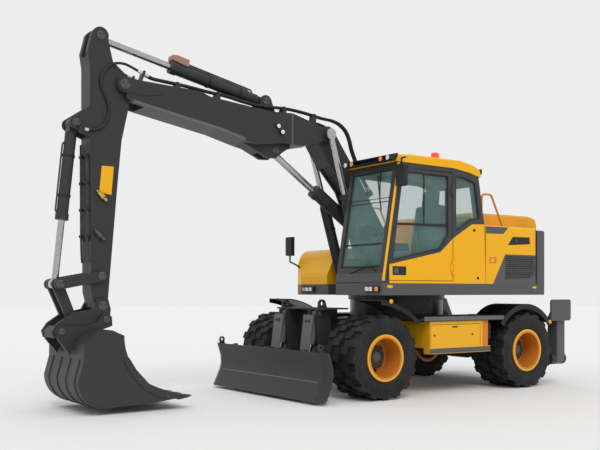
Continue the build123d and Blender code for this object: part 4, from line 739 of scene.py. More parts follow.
def repeat(name, group, places, radius, height, finish, body):
    """One piece with the group's shape at every (point, way)."""
    seed = bpy.data.meshes.new(name + "_seed")
    seed.from_pydata([tuple(spot) for spot, facing in places], [], [])
    ways = seed.attributes.new("way", "FLOAT_VECTOR", "POINT")
    for entry, (spot, facing) in zip(ways.data, places):
        entry.vector = facing
    holder = bpy.data.objects.new(name + "_seed", seed)
    bpy.context.scene.collection.objects.link(holder)
    nodes_of = holder.modifiers.new("repeat", "NODES")
    nodes_of.node_group = group
    for item in group.interface.items_tree:
        value = {"Radius": radius, "Height": height, "Finish": finish}.get(item.name)
        if value is not None and item.in_out == "INPUT":
            nodes_of[item.identifier] = value
    seen_by = bpy.context.evaluated_depsgraph_get()
    mesh = bpy.data.meshes.new_from_object(holder.evaluated_get(seen_by))
    mesh.name = name
    bpy.data.objects.remove(holder)
    return piece(name, mesh, finish, body)


def ring_of(centre, way, radius, count, lift=0.0, start=0.0):
    """Places for repeat, evenly round a circle and all facing one way."""
    return [(spot, way) for spot in circle(centre, way, radius, lift, count, start)]


print("node groups:", [group.name for group in bpy.data.node_groups])

# %% [markdown]
# ## Wheels
# Each wheel is held by a ring of nuts on its disc, and its hub ends in a drum with a ring of bolts.
# A cap closes the drum, and a valve stem stands on the rim.
# The nuts sit on the face that the CAD gives the disc, so they are placed by that face and not by eye.

# %% Wheels
HUB_FACE = 1.0690
DISC_FACE = 0.9765
DRUM = 0.094
for end, x in AXLES.items():
    for side, hand in SIDES:
        out = (0, hand, 0)
        body = f"wheel_{end}_{side}"
        nuts = ring_of(at(x, hand * DISC_FACE, WHEEL_Z), out, 0.178, 10, 0.012)
        repeat(f"wheel_nuts_{end}_{side}", BOLTS, nuts, 0.017, 0.034, worn_steel, body)
        drum = [(0.0, 0.146), (0.080, 0.146), (0.092, 0.136), (DRUM, POLE)]
        foot = at(x, hand * (HUB_FACE - DRUM), WHEEL_Z)
        turned(f"hub_drum_{end}_{side}", drum, foot, out, charcoal, body, 48)
        bolts = ring_of(at(x, hand * HUB_FACE, WHEEL_Z), out, 0.104, 10, 0.004, 0.2)
        repeat(f"hub_bolts_{end}_{side}", BOLTS, bolts, 0.010, 0.012, worn_steel, body)
        turned(f"hub_cap_{end}_{side}", button(0.070, 0.012, 0.020, 0.060, 0.002),
               at(x, hand * (HUB_FACE - 0.001), WHEEL_Z), out, graphite, body)
        stem = [(x + 0.190, hand * 1.02, WHEEL_Z + 0.100), (x + 0.200, hand * 1.05, WHEEL_Z + 0.105),
                (x + 0.205, hand * 1.09, WHEEL_Z + 0.110)]
        tube(f"valve_{end}_{side}", stem, 0.005, worn_steel, body)
tell("wheels")

# %% [markdown]
# ## Cab windows
# Rubber seals frame every pane, and bars cross the windscreen, the door's window and its post.
# A seal could be painted on the glass, but a tube along the pane's outline stands proud as a real one does.
# Outlines are drawn from the foot of the cab's front edge in millimetres, as they are measured on a drawing.

# %% Cab windows
CAB_FRONT = 1.350
SKIRT_TOP = 1.440
SIDE_Y = 1.245
CAB_IN = 0.330


def cab(*spots):
    """Cab outlines are drawn from the foot of the front edge, in millimetres."""
    return [(CAB_FRONT + x / 1000, SKIRT_TOP + z / 1000) for x, z in spots]


DOOR_PANE = cab((-170, 290), (-340, 1390), (-1125, 1390), (-1125, 630), (-990, 445))
QUARTER = cab((-1265, 690), (-1265, 1410), (-1480, 1385), (-1625, 1335), (-1710, 860), (-1550, 850))
RIGHT_PANE = cab((-135, 320), (-305, 1410), (-1470, 1385), (-1625, 1335), (-1735, 320))
for name, outline, y, body in (
        ("door", DOOR_PANE, SIDE_Y - 0.010, "door"),
        ("quarter", QUARTER, SIDE_Y - 0.010, "upper"),
        ("right", RIGHT_PANE, CAB_IN + 0.010, "upper")):
    line = [(x, y, z) for x, z in outline]
    tube(f"seal_{name}", line, 0.014, black_plastic, body, closed=True, smooth=False)
SCREEN_FOOT = (1.300, 1.648)
SCREEN_HEAD = (1.095, 2.852)


def on_screen(y, part):
    """Point on the windscreen, at a part of its height."""
    (x0, z0), (x1, z1) = SCREEN_FOOT, SCREEN_HEAD
    return (x0 + (x1 - x0) * part, y, z0 + (z1 - z0) * part)


corners = [on_screen(0.408, 0), on_screen(1.167, 0), on_screen(1.167, 1), on_screen(0.408, 1)]
tube("seal_windscreen", corners, 0.014, black_plastic, "upper", closed=True, smooth=False)
for name, part, radius in (("joint", 0.235, 0.010), ("bar_low", 0.675, 0.006), ("bar_high", 0.715, 0.005)):
    line = [on_screen(y, part) for y in (0.41, 0.79, 1.165)]
    tube(f"screen_{name}", line, radius, black_plastic, "upper", smooth=False)
SASH = [(0.235, 2.180), (1.105, 2.165), (1.102, 2.192), (0.235, 2.207)]
plate("door_sash", SASH, SIDE_Y - 0.024, SIDE_Y - 0.008, black_plastic, "door")
MULLION = rectangle(0.628, 2.19, 0.640, 2.82)
plate("door_mullion", MULLION, SIDE_Y - 0.024, SIDE_Y - 0.012, black_plastic, "door", edge=0.002)
tell("cab windows")

# %% [markdown]
# ## Cab trim and wipers
# A slim yellow strip runs down the front post, and a plate with a grip opens the door.
# Two wipers hang over the windscreen, one from the roof and one from below, each an arm and a blade.
# They are bent tubes, because at this size a flat blade and a round one look the same.

# %% Cab trim and wipers
POST = cab((-1, 30), (-12, 120), (-251, 1500), (-290, 1500), (-52, 122), (-42, 30))
for name, outline, inner, outer, finish, body, edge in (
        ("post_strip", POST, -0.012, 0.004, yellow, "upper", 0.004),
        ("handle_plate", rectangle(0.955, 1.540, 1.180, 1.650), -0.008, 0.003, black_plastic, "door", 0.003),
        ("handle_grip", rectangle(1.085, 1.560, 1.165, 1.630), 0.001, 0.007, graphite, "door", 0.004),
        ("cab_seam", rectangle(0.122, 1.462, 0.127, 2.05), -0.003, 0.0006, black_plastic, "upper", 0.0003)):
    plate(name, outline, SIDE_Y + inner, SIDE_Y + outer, finish, body, edge=edge)
for name, x, z in (("upper", -0.259, 2.150), ("lower", -0.328, 1.515)):
    turned(f"lock_{name}", button(0.020, 0.006, 0.009, 0.014), at(x, SIDE_Y - 0.001, z), (0, 1, 0),
           black_plastic, "upper", 20)
for name, radius, line in (
        ("arm_high", 0.008, [on_screen(0.93, 1.0), (1.135, 0.955, 2.76), (1.19, 1.02, 2.52)]),
        ("blade_high", 0.009, [(1.125, 0.90, 2.80), (1.165, 0.985, 2.56), (1.205, 1.06, 2.36)]),
        ("arm_low", 0.008, [(1.340, 0.62, 1.565), (1.335, 0.80, 1.62), (1.325, 1.00, 1.66),
                            (1.345, 1.12, 1.585)]),
        ("blade_low", 0.009, [(1.325, 0.66, 1.640), (1.325, 0.86, 1.652), (1.325, 1.07, 1.650)])):
    tube(f"wiper_{name}", line, radius, black_plastic, "upper")
bar("cab_front_trim", (1.338, 1.356), (0.34, 1.235), (1.452, 1.560), graphite, "upper", 0.006)
tell("cab trim")

# %% [markdown]
# ## Mirrors and lamps
# Two mirrors stand out on arms, lamps sit in the roof's brow and in the skirt, and a dome tops the roof.
# The CAD has their housings, so only glass and lenses are added, each a thin form on its housing's face.
# A lens could be a light of its own, but by day a faint glow of its colour is all that shows.

# %% Mirrors and lamps
BROW_X = 1.2245
BROW_Z = 2.992
LAMP_LOW = 1.342
LAMP_HIGH = 1.394
for name, x, y, z, tall in (("left", 1.078, 1.335, 2.770, 0.115), ("right", 0.898, -1.315, 2.010, 0.120)):
    outline = [(y - 0.055, z - tall), (y + 0.055, z - tall), (y + 0.062, z), (y + 0.055, z + tall),
               (y - 0.055, z + tall), (y - 0.062, z)]
    plate(f"mirror_glass_{name}", outline, x - 0.002, x + 0.004, rod_chrome, "upper", "x", 0.002)
for name, y, finish in (("one", 0.380, clear_lens), ("two", 0.505, amber), ("three", 1.075, amber),
                        ("four", 1.205, clear_lens)):
    turned(f"brow_lamp_{name}", button(0.030, 0.010, 0.016, 0.022, 0.002), at(BROW_X + 0.001, y, BROW_Z),
           (1, 0, 0), finish, "upper", 24)
    if finish is amber:
        cup = [(-0.040, 0.016), (-0.015, 0.034), (0.001, 0.034), (0.002, POLE)]
        turned(f"brow_cup_{name}", cup, at(BROW_X, y, BROW_Z), (1, 0, 0), black_plastic, "upper", 24)
for name, x, y, half, finish in (
        ("skirt_lens_white", 1.374, 0.985, 0.030, clear_lens),
        ("skirt_lens_white_inner", 1.374, 1.055, 0.030, clear_lens),
        ("skirt_lens_amber", 1.374, 1.165, 0.030, amber),
        ("tank_lens_amber", 0.994, -0.880, 0.033, amber),
        ("tank_lens_white", 0.994, -0.800, 0.033, clear_lens),
        ("tank_lens_white_inner", 0.994, -0.715, 0.033, clear_lens)):
    plate(name, rectangle(y - half, LAMP_LOW, y + half, LAMP_HIGH), x, x + 0.007, finish, "upper", "x")
turned("rear_lamp_lens", button(0.038, 0.008, 0.013, 0.030, 0.002), at(-0.449, 1.150, 2.945), (-1, 0, 0),
       clear_lens, "upper", 24)
DOME = [(0.0, 0.062), (0.012, 0.064), (0.080, 0.058), (0.108, 0.040), (0.118, POLE)]
turned("beacon_dome", DOME, at(0.020, 0.800, 3.056), (0, 0, 1), red_lens, "upper")
VISOR = [(0.345, 2.962), (0.345, 2.970), (1.235, 2.970), (1.235, 2.962)]
plate("visor_pane", VISOR, 1.145, 1.232, black_plastic, "upper", "x", 0.002)
tell("mirrors and lamps")

# %% [markdown]
# ## Grille
# The engine breathes through a mesh of six-sided cells before dark louvres, with a moulded frame round it;
# the louvres and the shade of their hollow are painted as one near-black patch on the side panel.
# An image of a mesh would look flat from the side, so the cells are real wire.
# Rows shifted by half a cell make the honeycomb, and a test keeps the cells inside the slanting frame.

# %% Grille
MESH_FRAME = [(-0.884, 1.828), (-1.468, 1.828), (-1.468, 1.578), (-1.340, 1.514), (-0.868, 1.510)]
PITCH = 0.030
for side, hand in SIDES:
    places = []
    for row in range(13):
        for column in range(21):
            x = -0.892 - column * PITCH - (row % 2) * PITCH / 2
            z = 1.524 + row * PITCH * 0.87
            slant = max(0.0, (-1.340 - x) * 0.5)
            if x > -1.458 and 1.514 + slant < z < 1.822:
                places.append((at(x, hand * (SIDE_Y + 0.001), z), (0, hand, 0)))
    repeat(f"grille_{side}", CELLS, places, 0.0172, 0.0042, ash, "upper")
    frame_line = [(x, hand * (SIDE_Y - 0.001), z) for x, z in MESH_FRAME]
    tube(f"grille_frame_{side}", frame_line, 0.006, graphite, "upper", closed=True, smooth=False)
print("grille cells on each side:", len(places))

# %% [markdown]
# ## Side panels, tank and hood
# Each side has a dark strip, a vent window with a catch, a latch with a tongue, and a seam between panels.
# They could be painted on, but plates that stand a little proud of the skin, or below it, catch the light.
# The tank has a cap and a non-slip mat, and the hood carries two treads.

# %% Side panels
for side, hand in SIDES:
    strip = [(-0.486, 2.212), (-0.924, 2.214), (-0.830, 2.122), (-0.486, 2.116)]
    window = [(-1.021, 2.084), (-1.364, 2.089), (-1.373, 2.001), (-0.925, 1.974)]
    latch = [(-0.548, 1.717), (-0.685, 1.719), (-0.685, 1.801), (-0.548, 1.798)]
    for name, outline, inner, outer, finish, edge in (
            ("name_strip", strip, -0.001, 0.003, graphite, 0.001),
            ("vent_window", window, -0.0135, -0.004, black_plastic, 0.003),
            ("latch", latch, -0.001, 0.003, orange, 0.001),
            ("latch_tongue", rectangle(-0.575, 1.735, -0.640, 1.780), 0.001, 0.006, yellow, 0.002),
            ("panel_seam", rectangle(-1.488, 1.452, -1.496, 2.205), -0.004, 0.0008, black_plastic, 0.0003)):
        depth = across(hand, SIDE_Y + inner, SIDE_Y + outer)
        plate(f"{name}_{side}", outline, *depth, finish, "upper", edge=edge)
    spot = at(-1.09, hand * (SIDE_Y - 0.005), 2.035)
    turned(f"vent_catch_{side}", button(0.024, 0.005, 0.007, 0.016), spot, (0, hand, 0), worn_steel,
           "upper", 20)
for name, outline in (
        ("front", rectangle(1.179, 1.380, 1.267, 1.416)),
        ("rear", rectangle(-1.430, 1.380, -1.505, 1.408))):
    plate(f"sign_{name}", outline, SIDE_Y - 0.001, SIDE_Y + 0.002, yellow, "upper", edge=0.0008)
for name, y in (("left", 0.62), ("right", -0.62)):
    bar(f"tail_lamp_{name}", (-2.028, -2.006), (y - 0.075, y + 0.075), (1.53, 1.60), red_lens, "upper", 0.006)
TANK_CAP = button(0.060, 0.030, 0.042, 0.050, 0.003)
turned("tank_cap", TANK_CAP, at(0.20, -0.95, 1.949), (0, 0, 1), black_plastic, "upper")
plate("tank_grip", rectangle(-0.30, -1.08, 0.48, -0.42), 1.9495, 1.956, black_plastic, "upper", "z", 0.002)
for name, low, high in (("left", 0.34, 0.86), ("right", -0.86, -0.34)):
    tread = rectangle(-0.62, low, -1.80, high)
    plate(f"hood_tread_{name}", tread, 2.4245, 2.430, black_plastic, "hood", "z", 0.002)
tell("side panels")

# %% [markdown]
# ## Toolboxes and walkways
# Each toolbox lid has its seam, its grip and two locks, with a post beside the box and a step in front of it.
# The walkways over the wheels carry tread pads between their edges.
# Left and right are the same but for the sign of y, so one loop over the sides makes both.

# %% Toolboxes and walkways
BOX_Y = 1.220
GRIP = [(0.020, 0.866), (0.132, 0.866), (0.120, 0.884), (0.032, 0.884)]
for side, hand in SIDES:
    for name, outline, inner, outer, edge in (
            ("lid_seam_top", rectangle(-0.40, 0.905, 0.508, 0.911), -0.004, 0.0008, 0.0003),
            ("lid_seam_front", rectangle(0.506, 0.62, 0.511, 0.905), -0.004, 0.0008, 0.0003),
            ("lid_seam_rear", rectangle(-0.402, 0.62, -0.397, 0.905), -0.004, 0.0008, 0.0003),
            ("lid_grip", GRIP, -0.006, 0.002, 0.001)):
        depth = across(hand, BOX_Y + inner, BOX_Y + outer)
        plate(f"{name}_{side}", outline, *depth, black_plastic, "undercarriage", edge=edge)
    for part, x in (("front", 0.440), ("rear", -0.249)):
        spot = at(x, hand * (BOX_Y - 0.001), 0.770)
        turned(f"lid_lock_{part}_{side}", button(0.014, 0.004, 0.006, 0.009), spot, (0, hand, 0),
               black_plastic, "undercarriage", 20)
    for name, x, y, z, finish, edge in (
            ("box_post", (-0.560, -0.445), (1.150, 1.213), (0.608, 0.945), orange, 0.004),
            ("step_face", (-0.598, 0.526), (1.216, 1.2235), (0.538, 0.602), graphite, 0.003),
            ("walk_edge", (-0.84, 0.64), (1.225, 1.2435), (0.958, 1.012), ash, 0.004)):
        bar(f"{name}_{side}", x, across(hand, *y), z, finish, "undercarriage", edge)
    for part in range(4):
        x = -0.76 + part * 0.36
        bar(f"walk_pad_{part}_{side}", (x, x + 0.30), across(hand, 0.82, 1.19), (1.012, 1.0175),
            black_plastic, "undercarriage", 0.002)
tell("toolboxes and walkways")

# %% [markdown]
# ## Reflectors, pin caps and ring bolts
# Reflectors sit on the guards, and chamfered caps close the pins of the blade and of the legs.
# A cap could be a bevelled cylinder, but a short half section gives its side, chamfer and face at once.
# The bolts round the swing ring come from the node tree, which makes 36 heads as easily as one.

# %% Reflectors, pin caps and ring bolts
GUARD_Y = 1.2395
for side, hand in SIDES:
    out = (0, hand, 0)
    for name, section, (x, y, z), way, finish, count in (
            ("reflector_front", (0.028, 0.006, 0.009, 0.022), (1.200, GUARD_Y, 1.214), out, yellow, 24),
            ("reflector_rear", (0.028, 0.006, 0.009, 0.022), (-1.806, GUARD_Y, 0.905), out, yellow, 24),
            ("leg_pin", (0.052, 0.012, 0.016, 0.046), (-2.225, 1.115, 0.365), (-1, 0, 0), worn_steel, 32),
            ("blade_pin", (0.050, 0.010, 0.014, 0.044), (1.62, 0.420, 0.600), out, worn_steel, 32),
            ("blade_top_pin", (0.044, 0.010, 0.014, 0.038), (1.66, 0.420, 1.045), out, worn_steel, 32)):
        spot = at(x, hand * y, z)
        turned(f"{name}_{side}", button(*section), spot, way, finish, "undercarriage", count)
ring_bolts = ring_of(at(0, 0, 1.240), (0, 0, -1), 0.669, 36, 0.006)
repeat("ring_bolts", BOLTS, ring_bolts, 0.009, 0.014, worn_steel, "undercarriage")
tell("reflectors, pins and ring bolts")

# %% [markdown]
# ## Seat and controls
# The seat is a crowned cushion, a waisted back and a headrest in woven cloth, over the CAD's plain solids.
# A cloth simulation would swell them as stuffing does, but behind tinted glass only their outlines show.
# So each grows from its side outline, is bevelled and divided, and is crowned most in its middle.
# Two joysticks stand on the consoles, and a small screen faces the driver.

# %% Seat and controls
CAB_MID = (CAB_IN + SIDE_Y) / 2
SEAT = (0.180, 1.500)


def cushion(name, outline, half, crown):
    """Soft form grown from a side outline: bevelled, subdivided, and crowned across its width."""
    shape = bmesh.new()
    spots = [at(SEAT[0] + x / 1000, CAB_MID - half, SEAT[1] + z / 1000) for x, z in outline]
    face = shape.faces.new([shape.verts.new(spot) for spot in spots])
    grown = bmesh.ops.extrude_face_region(shape, geom=[face])
    top = [v for v in grown["geom"] if isinstance(v, bmesh.types.BMVert)]
    bmesh.ops.translate(shape, verts=top, vec=(0, 2 * half, 0))
    bmesh.ops.recalc_face_normals(shape, faces=shape.faces[:])
    bmesh.ops.bevel(shape, geom=shape.edges[:], offset=0.028, segments=3, affect="EDGES", profile=0.6)
    wide = [e for e in shape.edges if abs(e.verts[0].co.y - e.verts[1].co.y) > half]
    bmesh.ops.subdivide_edges(shape, edges=wide, cuts=9, use_grid_fill=True)
    middle = sum((v.co for v in shape.verts), Vector()) / len(shape.verts)
    for v in shape.verts:
        side = (v.co.y - CAB_MID) / half
        away = v.co - middle
        away.y = 0
        if away.length > 0.02:
            v.co += away.normalized() * crown * (1 - side * side)
    mesh = bpy.data.meshes.new(name)
    shape.to_mesh(mesh)
    shape.free()
    made = piece(name, mesh, seat_cloth, "upper", True)


cushion("seat_cushion", [(-66, 215), (500, 215), (528, 300), (486, 358), (0, 338), (-66, 388)], 0.262, 0.012)
cushion("seat_back", [(-36, 335), (76, 335), (-42, 985), (-148, 976)], 0.242, 0.014)
cushion("seat_head", [(-116, 945), (-34, 945), (-62, 1186), (-146, 1176)], 0.132, 0.008)
STICK = [(0.0, 0.034), (0.02, 0.030), (0.05, 0.012), (0.13, 0.011), (0.15, 0.022), (0.20, 0.024),
         (0.225, 0.016), (0.228, POLE)]
for name, y in (("left", SIDE_Y - 0.140), ("right", CAB_IN + 0.145)):
    turned(f"joystick_{name}", STICK, at(0.60, y, 1.992), (0.12, 0, 1), black_plastic, "upper", 20)
SCREEN = [(1.02, 2.02), (1.045, 2.02), (1.005, 2.20), (0.98, 2.20)]
plate("screen_panel", SCREEN, 0.42, 0.60, black_plastic, "upper")
tell("seat and controls")

# %% [markdown]
# ## Boom and arm plates
# A lighter strip follows the boom's lower edge, a lighter band of painted highlight marks where its side
# plate bends, and a cheek plate doubles the fork round the tip's pin.
# Outlines near a pin are drawn from that pin, because that is how such plates are laid out in the workshop.
# If the pin moved in the CAD, one value here would move the whole plate with it.

# %% Boom and arm plates
FOOT = (0.250, 1.800)
KNEE = (1.370, 3.410)
TIP = (4.275, 3.690)
END = (4.535, 1.176)
BOOM_Y = 0.1895


def from_pin(pin, *spots):
    """Outline drawn from a pin, in millimetres."""
    return [(pin[0] + x / 1000, pin[1] + z / 1000) for x, z in spots]


STRIP = from_pin(KNEE, (1290, -202), (1653, -112), (2641, 57), (2804, 90), (2800, 122), (2635, 92),
                 (1640, -76), (1290, -164))
CHEEK = from_pin(TIP, (-470, 30), (-470, -62), (-260, -100), (-60, -88), (0, -86), (60, -60), (84, 0),
                 (60, 60), (0, 86), (-60, 88), (-200, 66))
# Painted highlight: a thin graphite band standing for the light on the bend of the boom's side plate.
BEND_HIGHLIGHT = from_pin(KNEE, (560, -205), (590, -205), (590, 212), (560, 212))
SMALL_PLATE = [(4.530, 2.752), (4.385, 2.752), (4.414, 2.430), (4.560, 2.452)]
for side, hand in SIDES:
    for name, outline, inner, outer, finish, body, edge in (
            ("boom_strip", STRIP, BOOM_Y, BOOM_Y + 0.0040, ash, "main_boom", 0.0015),
            ("boom_cheek", CHEEK, BOOM_Y, BOOM_Y + 0.0075, charcoal, "main_boom", 0.003),
            ("boom_joint", BEND_HIGHLIGHT, BOOM_Y - 0.0003, BOOM_Y + 0.0020, graphite, "main_boom", 0.001),
            ("arm_sign", SMALL_PLATE, 0.1315, 0.1335, yellow, "arm", 0.0008)):
        plate(f"{name}_{side}", outline, *across(hand, inner, outer), finish, body, edge=edge)
tell("boom and arm plates")

# %% [markdown]
# ## Lines on the boom and the arm
# Steel lines run down the arm under clamps, and straps hold the boom's lines on their saddles.
# They are tubes with few points: a real line is straight, with one bend at its end.

# %% Lines on the boom and the arm
for side, hand in SIDES:
    outer_run = [(4.690, hand * 0.098, 3.000), (4.688, hand * 0.098, 2.2), (4.684, hand * 0.098, 1.72),
                 (4.672, hand * 0.100, 1.66)]
    inner_run = [(4.690, hand * 0.066, 2.900), (4.688, hand * 0.066, 2.2), (4.686, hand * 0.066, 1.95),
                 (4.668, hand * 0.066, 1.90)]
    tube(f"arm_line_{side}", outer_run, 0.011, iron, "arm")
    tube(f"arm_line_inner_{side}", inner_run, 0.011, iron, "arm")
    for part in range(4):
        z = 2.86 - part * 0.30
        bar(f"arm_clamp_{part}_{side}", (4.664, 4.707), across(hand, 0.048, 0.116), (z - 0.016, z + 0.016),
            black_plastic, "arm")
    for part, (x, z) in enumerate(((3.595, 3.790), (3.045, 3.744), (2.070, 3.683), (1.585, 3.6425))):
        bar(f"line_strap_{part}_{side}", (x - 0.018, x + 0.018), across(hand, 0.107, 0.187),
            (z - 0.014, z + 0.021), black_plastic, "main_boom")
tell("lines on the boom and the arm")

# %% [markdown]
# ## Pins
# Every joint of boom, arm and bucket turns on a steel pin, and each end of it is held by a flanged cap.
# The table gives each pin its place, how far out its cap sits, its radius and the body that holds it.
# Three bolt heads on each cap come from the same node tree as the wheel nuts.

# %% Pins
LIFT_FOOT = (0.76, 1.42)
ADJUST_FOOT = (0.570, 2.060)
ADJUST_EYE = (2.154, 3.143)
ARM_FOOT = (2.290, 3.755)
ARM_EYE = (4.540, 4.220)
BUCKET_FOOT = (4.830, 3.210)
LINK_TOP = (5.030, 1.418)
for name, (x, z), y, radius, body in (
        ("knee", KNEE, 0.195, 0.062, "main_boom"),
        ("tip", TIP, 0.197, 0.058, "main_boom"),
        ("arm_base", ARM_FOOT, 0.100, 0.050, "main_boom"),
        ("adjust_eye", ADJUST_EYE, 0.110, 0.050, "main_boom"),
        ("arm_tail", ARM_EYE, 0.132, 0.050, "arm"),
        ("bucket_base", BUCKET_FOOT, 0.132, 0.046, "arm"),
        ("arm_end", END, 0.177, 0.052, "bucket"),
        ("lever", (4.544, 1.509), 0.180, 0.048, "bucket_lever"),
        ("link_top", LINK_TOP, 0.180, 0.048, "bucket_lever"),
        ("foot", FOOT, 0.205, 0.062, "upper"),
        ("coupler_rear", (4.510, 1.020), 0.222, 0.038, "bucket"),
        ("coupler_front", (5.030, 0.900), 0.222, 0.038, "bucket")):
    flange = [(-0.002, radius), (0.008, radius), (0.011, radius - 0.005), (0.011, radius * 0.45),
              (0.007, radius * 0.40), (0.007, POLE)]
    for side, hand in SIDES:
        spot = at(x, hand * y, z)
        turned(f"pin_{name}_{side}", flange, spot, (0, hand, 0), graphite, body)
        heads = ring_of(spot, (0, hand, 0), radius * 0.72, 3, 0.014, 0.5)
        repeat(f"pin_bolts_{name}_{side}", BOLTS, heads, 0.0075, 0.008, worn_steel, body)
tell("pins")

# %% [markdown]
# ## Lamps and hose ends
# Two work lamps sit on the boom's side, each a black pot with a domed lens.
# Pale crimped sleeves end the hoses at the boom's ends and at the arm, along the way that each hose leaves.
# Both are turned forms, as the real ones are.

# %% Lamps and hose ends
POT = [(0.0, 0.018), (0.006, 0.030), (0.034, 0.033), (0.040, 0.030), (0.040, POLE)]
LENS = [(0.0, 0.027), (0.004, 0.026), (0.007, 0.016), (0.008, POLE)]
for name, x, z in (("high", 2.185, 3.435), ("low", 2.123, 3.365)):
    turned(f"boom_lamp_{name}", POT, at(x, 0.190, z), (0, 1, 0), black_plastic, "main_boom", 24)
    turned(f"boom_lens_{name}", LENS, at(x, 0.230, z), (0, 1, 0), clear_lens, "main_boom", 24)
CRIMP = [(0.0, 0.0195), (0.012, 0.0205), (0.014, 0.0180), (0.050, 0.0180), (0.054, 0.0160), (0.054, 0.0155)]
for name, (x, z), way, depths, body in (
        ("boom_tip", (4.021, 3.849), (-0.931, 0, -0.365), (0.127, 0.169), "main_boom"),
        ("arm_tip", (4.0446, 3.8582), (0.931, 0, 0.365), (0.1473,), "arm"),
        ("arm_side", (4.747, 3.138), (-1, 0, 0), (0.1473,), "arm"),
        ("boom_back", (0.645, 2.723), (0.552, 0, 0.834), (0.127, 0.169), "main_boom")):
    for part, depth in enumerate(depths):
        for side, hand in SIDES:
            turned(f"sleeve_{name}_{part}_{side}", CRIMP, at(x, hand * depth, z), way, sleeve, body, 20)
tell("lamps and hose ends")

# %% [markdown]
# ## On the cylinders
# Thin steel lines feed each cylinder from its foot, bands clasp its barrel, and a block rides on the arm's.
# All of these lie along a cylinder, whatever way it points at rest.
# One function turns a distance along the cylinder and one beside it into a place, so no slope is typed in.
# The bands are hollow rings, because the rod has to slide out through the barrel's end.

# %% Lines, block and bands of the cylinders
def on_cylinder(foot, eye, along, off):
    """Point beside a cylinder: a distance along it, and one to its left."""
    way = Vector((eye[0] - foot[0], eye[1] - foot[1])).normalized()
    return (foot[0] + way.x * along - way.y * off, foot[1] + way.y * along + way.x * off)


def cylinder_line(name, foot, eye, y, spots, radius, body):
    """Steel line beside a cylinder, through spots of (distance along, distance off)."""
    run = [on_cylinder(foot, eye, *spot) for spot in spots]
    tube(name, [(x, y, z) for x, z in run], radius, iron, body)


for side, hand in SIDES:
    spots = [(0.22, -0.060), (0.22, -0.080), (0.30, -0.082), (1.05, -0.082), (1.14, -0.082), (1.16, -0.064)]
    cylinder_line(f"lift_line_{side}", LIFT_FOOT, KNEE, hand * 0.24, spots, 0.011, "lift_barrels")
    spots = [(0.20, 0.066), (0.20, 0.090), (0.30, 0.092), (1.06, 0.096), (1.135, 0.096)]
    cylinder_line(f"arm_cylinder_line_{side}", ARM_FOOT, ARM_EYE, hand * 0.030, spots, 0.011, "arm_barrel")
for name, foot, eye, off, length, radius in (
        ("adjust", ADJUST_FOOT, ADJUST_EYE, 0.100, 0.95, 0.011),
        ("bucket", BUCKET_FOOT, LINK_TOP, 0.082, 0.94, 0.010)):
    spots = [(0.22, off - 0.026), (0.22, off), (0.30, off + 0.002), (length, off), (length + 0.06, off),
             (length + 0.07, off - 0.022)]
    cylinder_line(f"{name}_cylinder_line", foot, eye, 0.0, spots, radius, f"{name}_barrel")
BLOCK = ((1.13, 0.060), (1.36, 0.075), (1.36, 0.135), (1.30, 0.150), (1.13, 0.150))
block = [on_cylinder(ARM_FOOT, ARM_EYE, *spot) for spot in BLOCK]
plate("valve_block", block, -0.062, 0.062, salmon, "arm_barrel", edge=0.006)
for name, foot, eye, y, radius, body in (
        ("lift_left", LIFT_FOOT, KNEE, 0.24, 0.0655, "lift_barrels"),
        ("lift_right", LIFT_FOOT, KNEE, -0.24, 0.0655, "lift_barrels"),
        ("arm", ARM_FOOT, ARM_EYE, 0.0, 0.0725, "arm_barrel"),
        ("adjust", ADJUST_FOOT, ADJUST_EYE, 0.0, 0.0805, "adjust_barrel"),
        ("bucket", BUCKET_FOOT, LINK_TOP, 0.0, 0.0655, "bucket_barrel")):
    band = [(0.0, radius - 0.003), (0.0, radius), (0.002, radius + 0.006), (0.026, radius + 0.006),
            (0.028, radius), (0.028, radius - 0.003)]
    for part, along in enumerate((0.35, 0.80)):
        x, z = on_cylinder(foot, eye, along, 0.0)
        way = (eye[0] - foot[0], 0, eye[1] - foot[1])
        turned(f"band_{name}_{part}", band, at(x, y, z), way, black_plastic, body, 40, hollow=True)
tell("on the cylinders")

# %% [markdown]
# ## Quick couplings
# Two couplings for tools sit on the arm's side on short feet, one of them in bare brass.
# Their steps are cut on a lathe in reality, so each is one half section with a small radius for every step.

# %% Quick couplings
STEPS = [(0.0, 0.010), (0.02, 0.012), (0.03, 0.024), (0.07, 0.024), (0.08, 0.030), (0.11, 0.030),
         (0.12, 0.020), (0.16, 0.020), (0.162, POLE)]
for name, x, z, finish in (("one", 4.600, 2.470, brass), ("two", 4.628, 2.030, worn_steel)):
    turned(f"coupling_{name}", STEPS, at(x, 0.160, z), (-0.72, 0.0, -0.69), finish, "arm", 24)
    bar(f"coupling_foot_{name}", (x - 0.085, x - 0.035), (0.130, 0.150), (z - 0.075, z - 0.035),
        black_plastic, "arm")
tell("quick couplings")

# %% [markdown]
# ## Bucket
# Wear straps follow the bucket's rolled back, a cutter with bolts edges each side, and caps end the teeth.
# The straps could be bent with a modifier, but the back is an arc, and an arc through three points is exact.
# A strap is that outline pushed a little outwards and a little inwards, so it always lies on the skin.

# %% Bucket
def arc(a, b, c, count):
    """Points on the circle through three points."""
    twice = 2 * (a[0] * (b[1] - c[1]) + b[0] * (c[1] - a[1]) + c[0] * (a[1] - b[1]))
    squares = [p[0] ** 2 + p[1] ** 2 for p in (a, b, c)]
    x = (squares[0] * (b[1] - c[1]) + squares[1] * (c[1] - a[1]) + squares[2] * (a[1] - b[1])) / twice
    z = (squares[0] * (c[0] - b[0]) + squares[1] * (a[0] - c[0]) + squares[2] * (b[0] - a[0])) / twice
    start, stop = math.atan2(a[1] - z, a[0] - x), math.atan2(c[1] - z, c[0] - x)
    reach = math.hypot(a[0] - x, a[1] - z)
    if stop < start:
        stop += 2 * math.pi
    turns = [start + (stop - start) * i / count for i in range(count + 1)]
    return [(x + reach * math.cos(turn), z + reach * math.sin(turn)) for turn in turns]


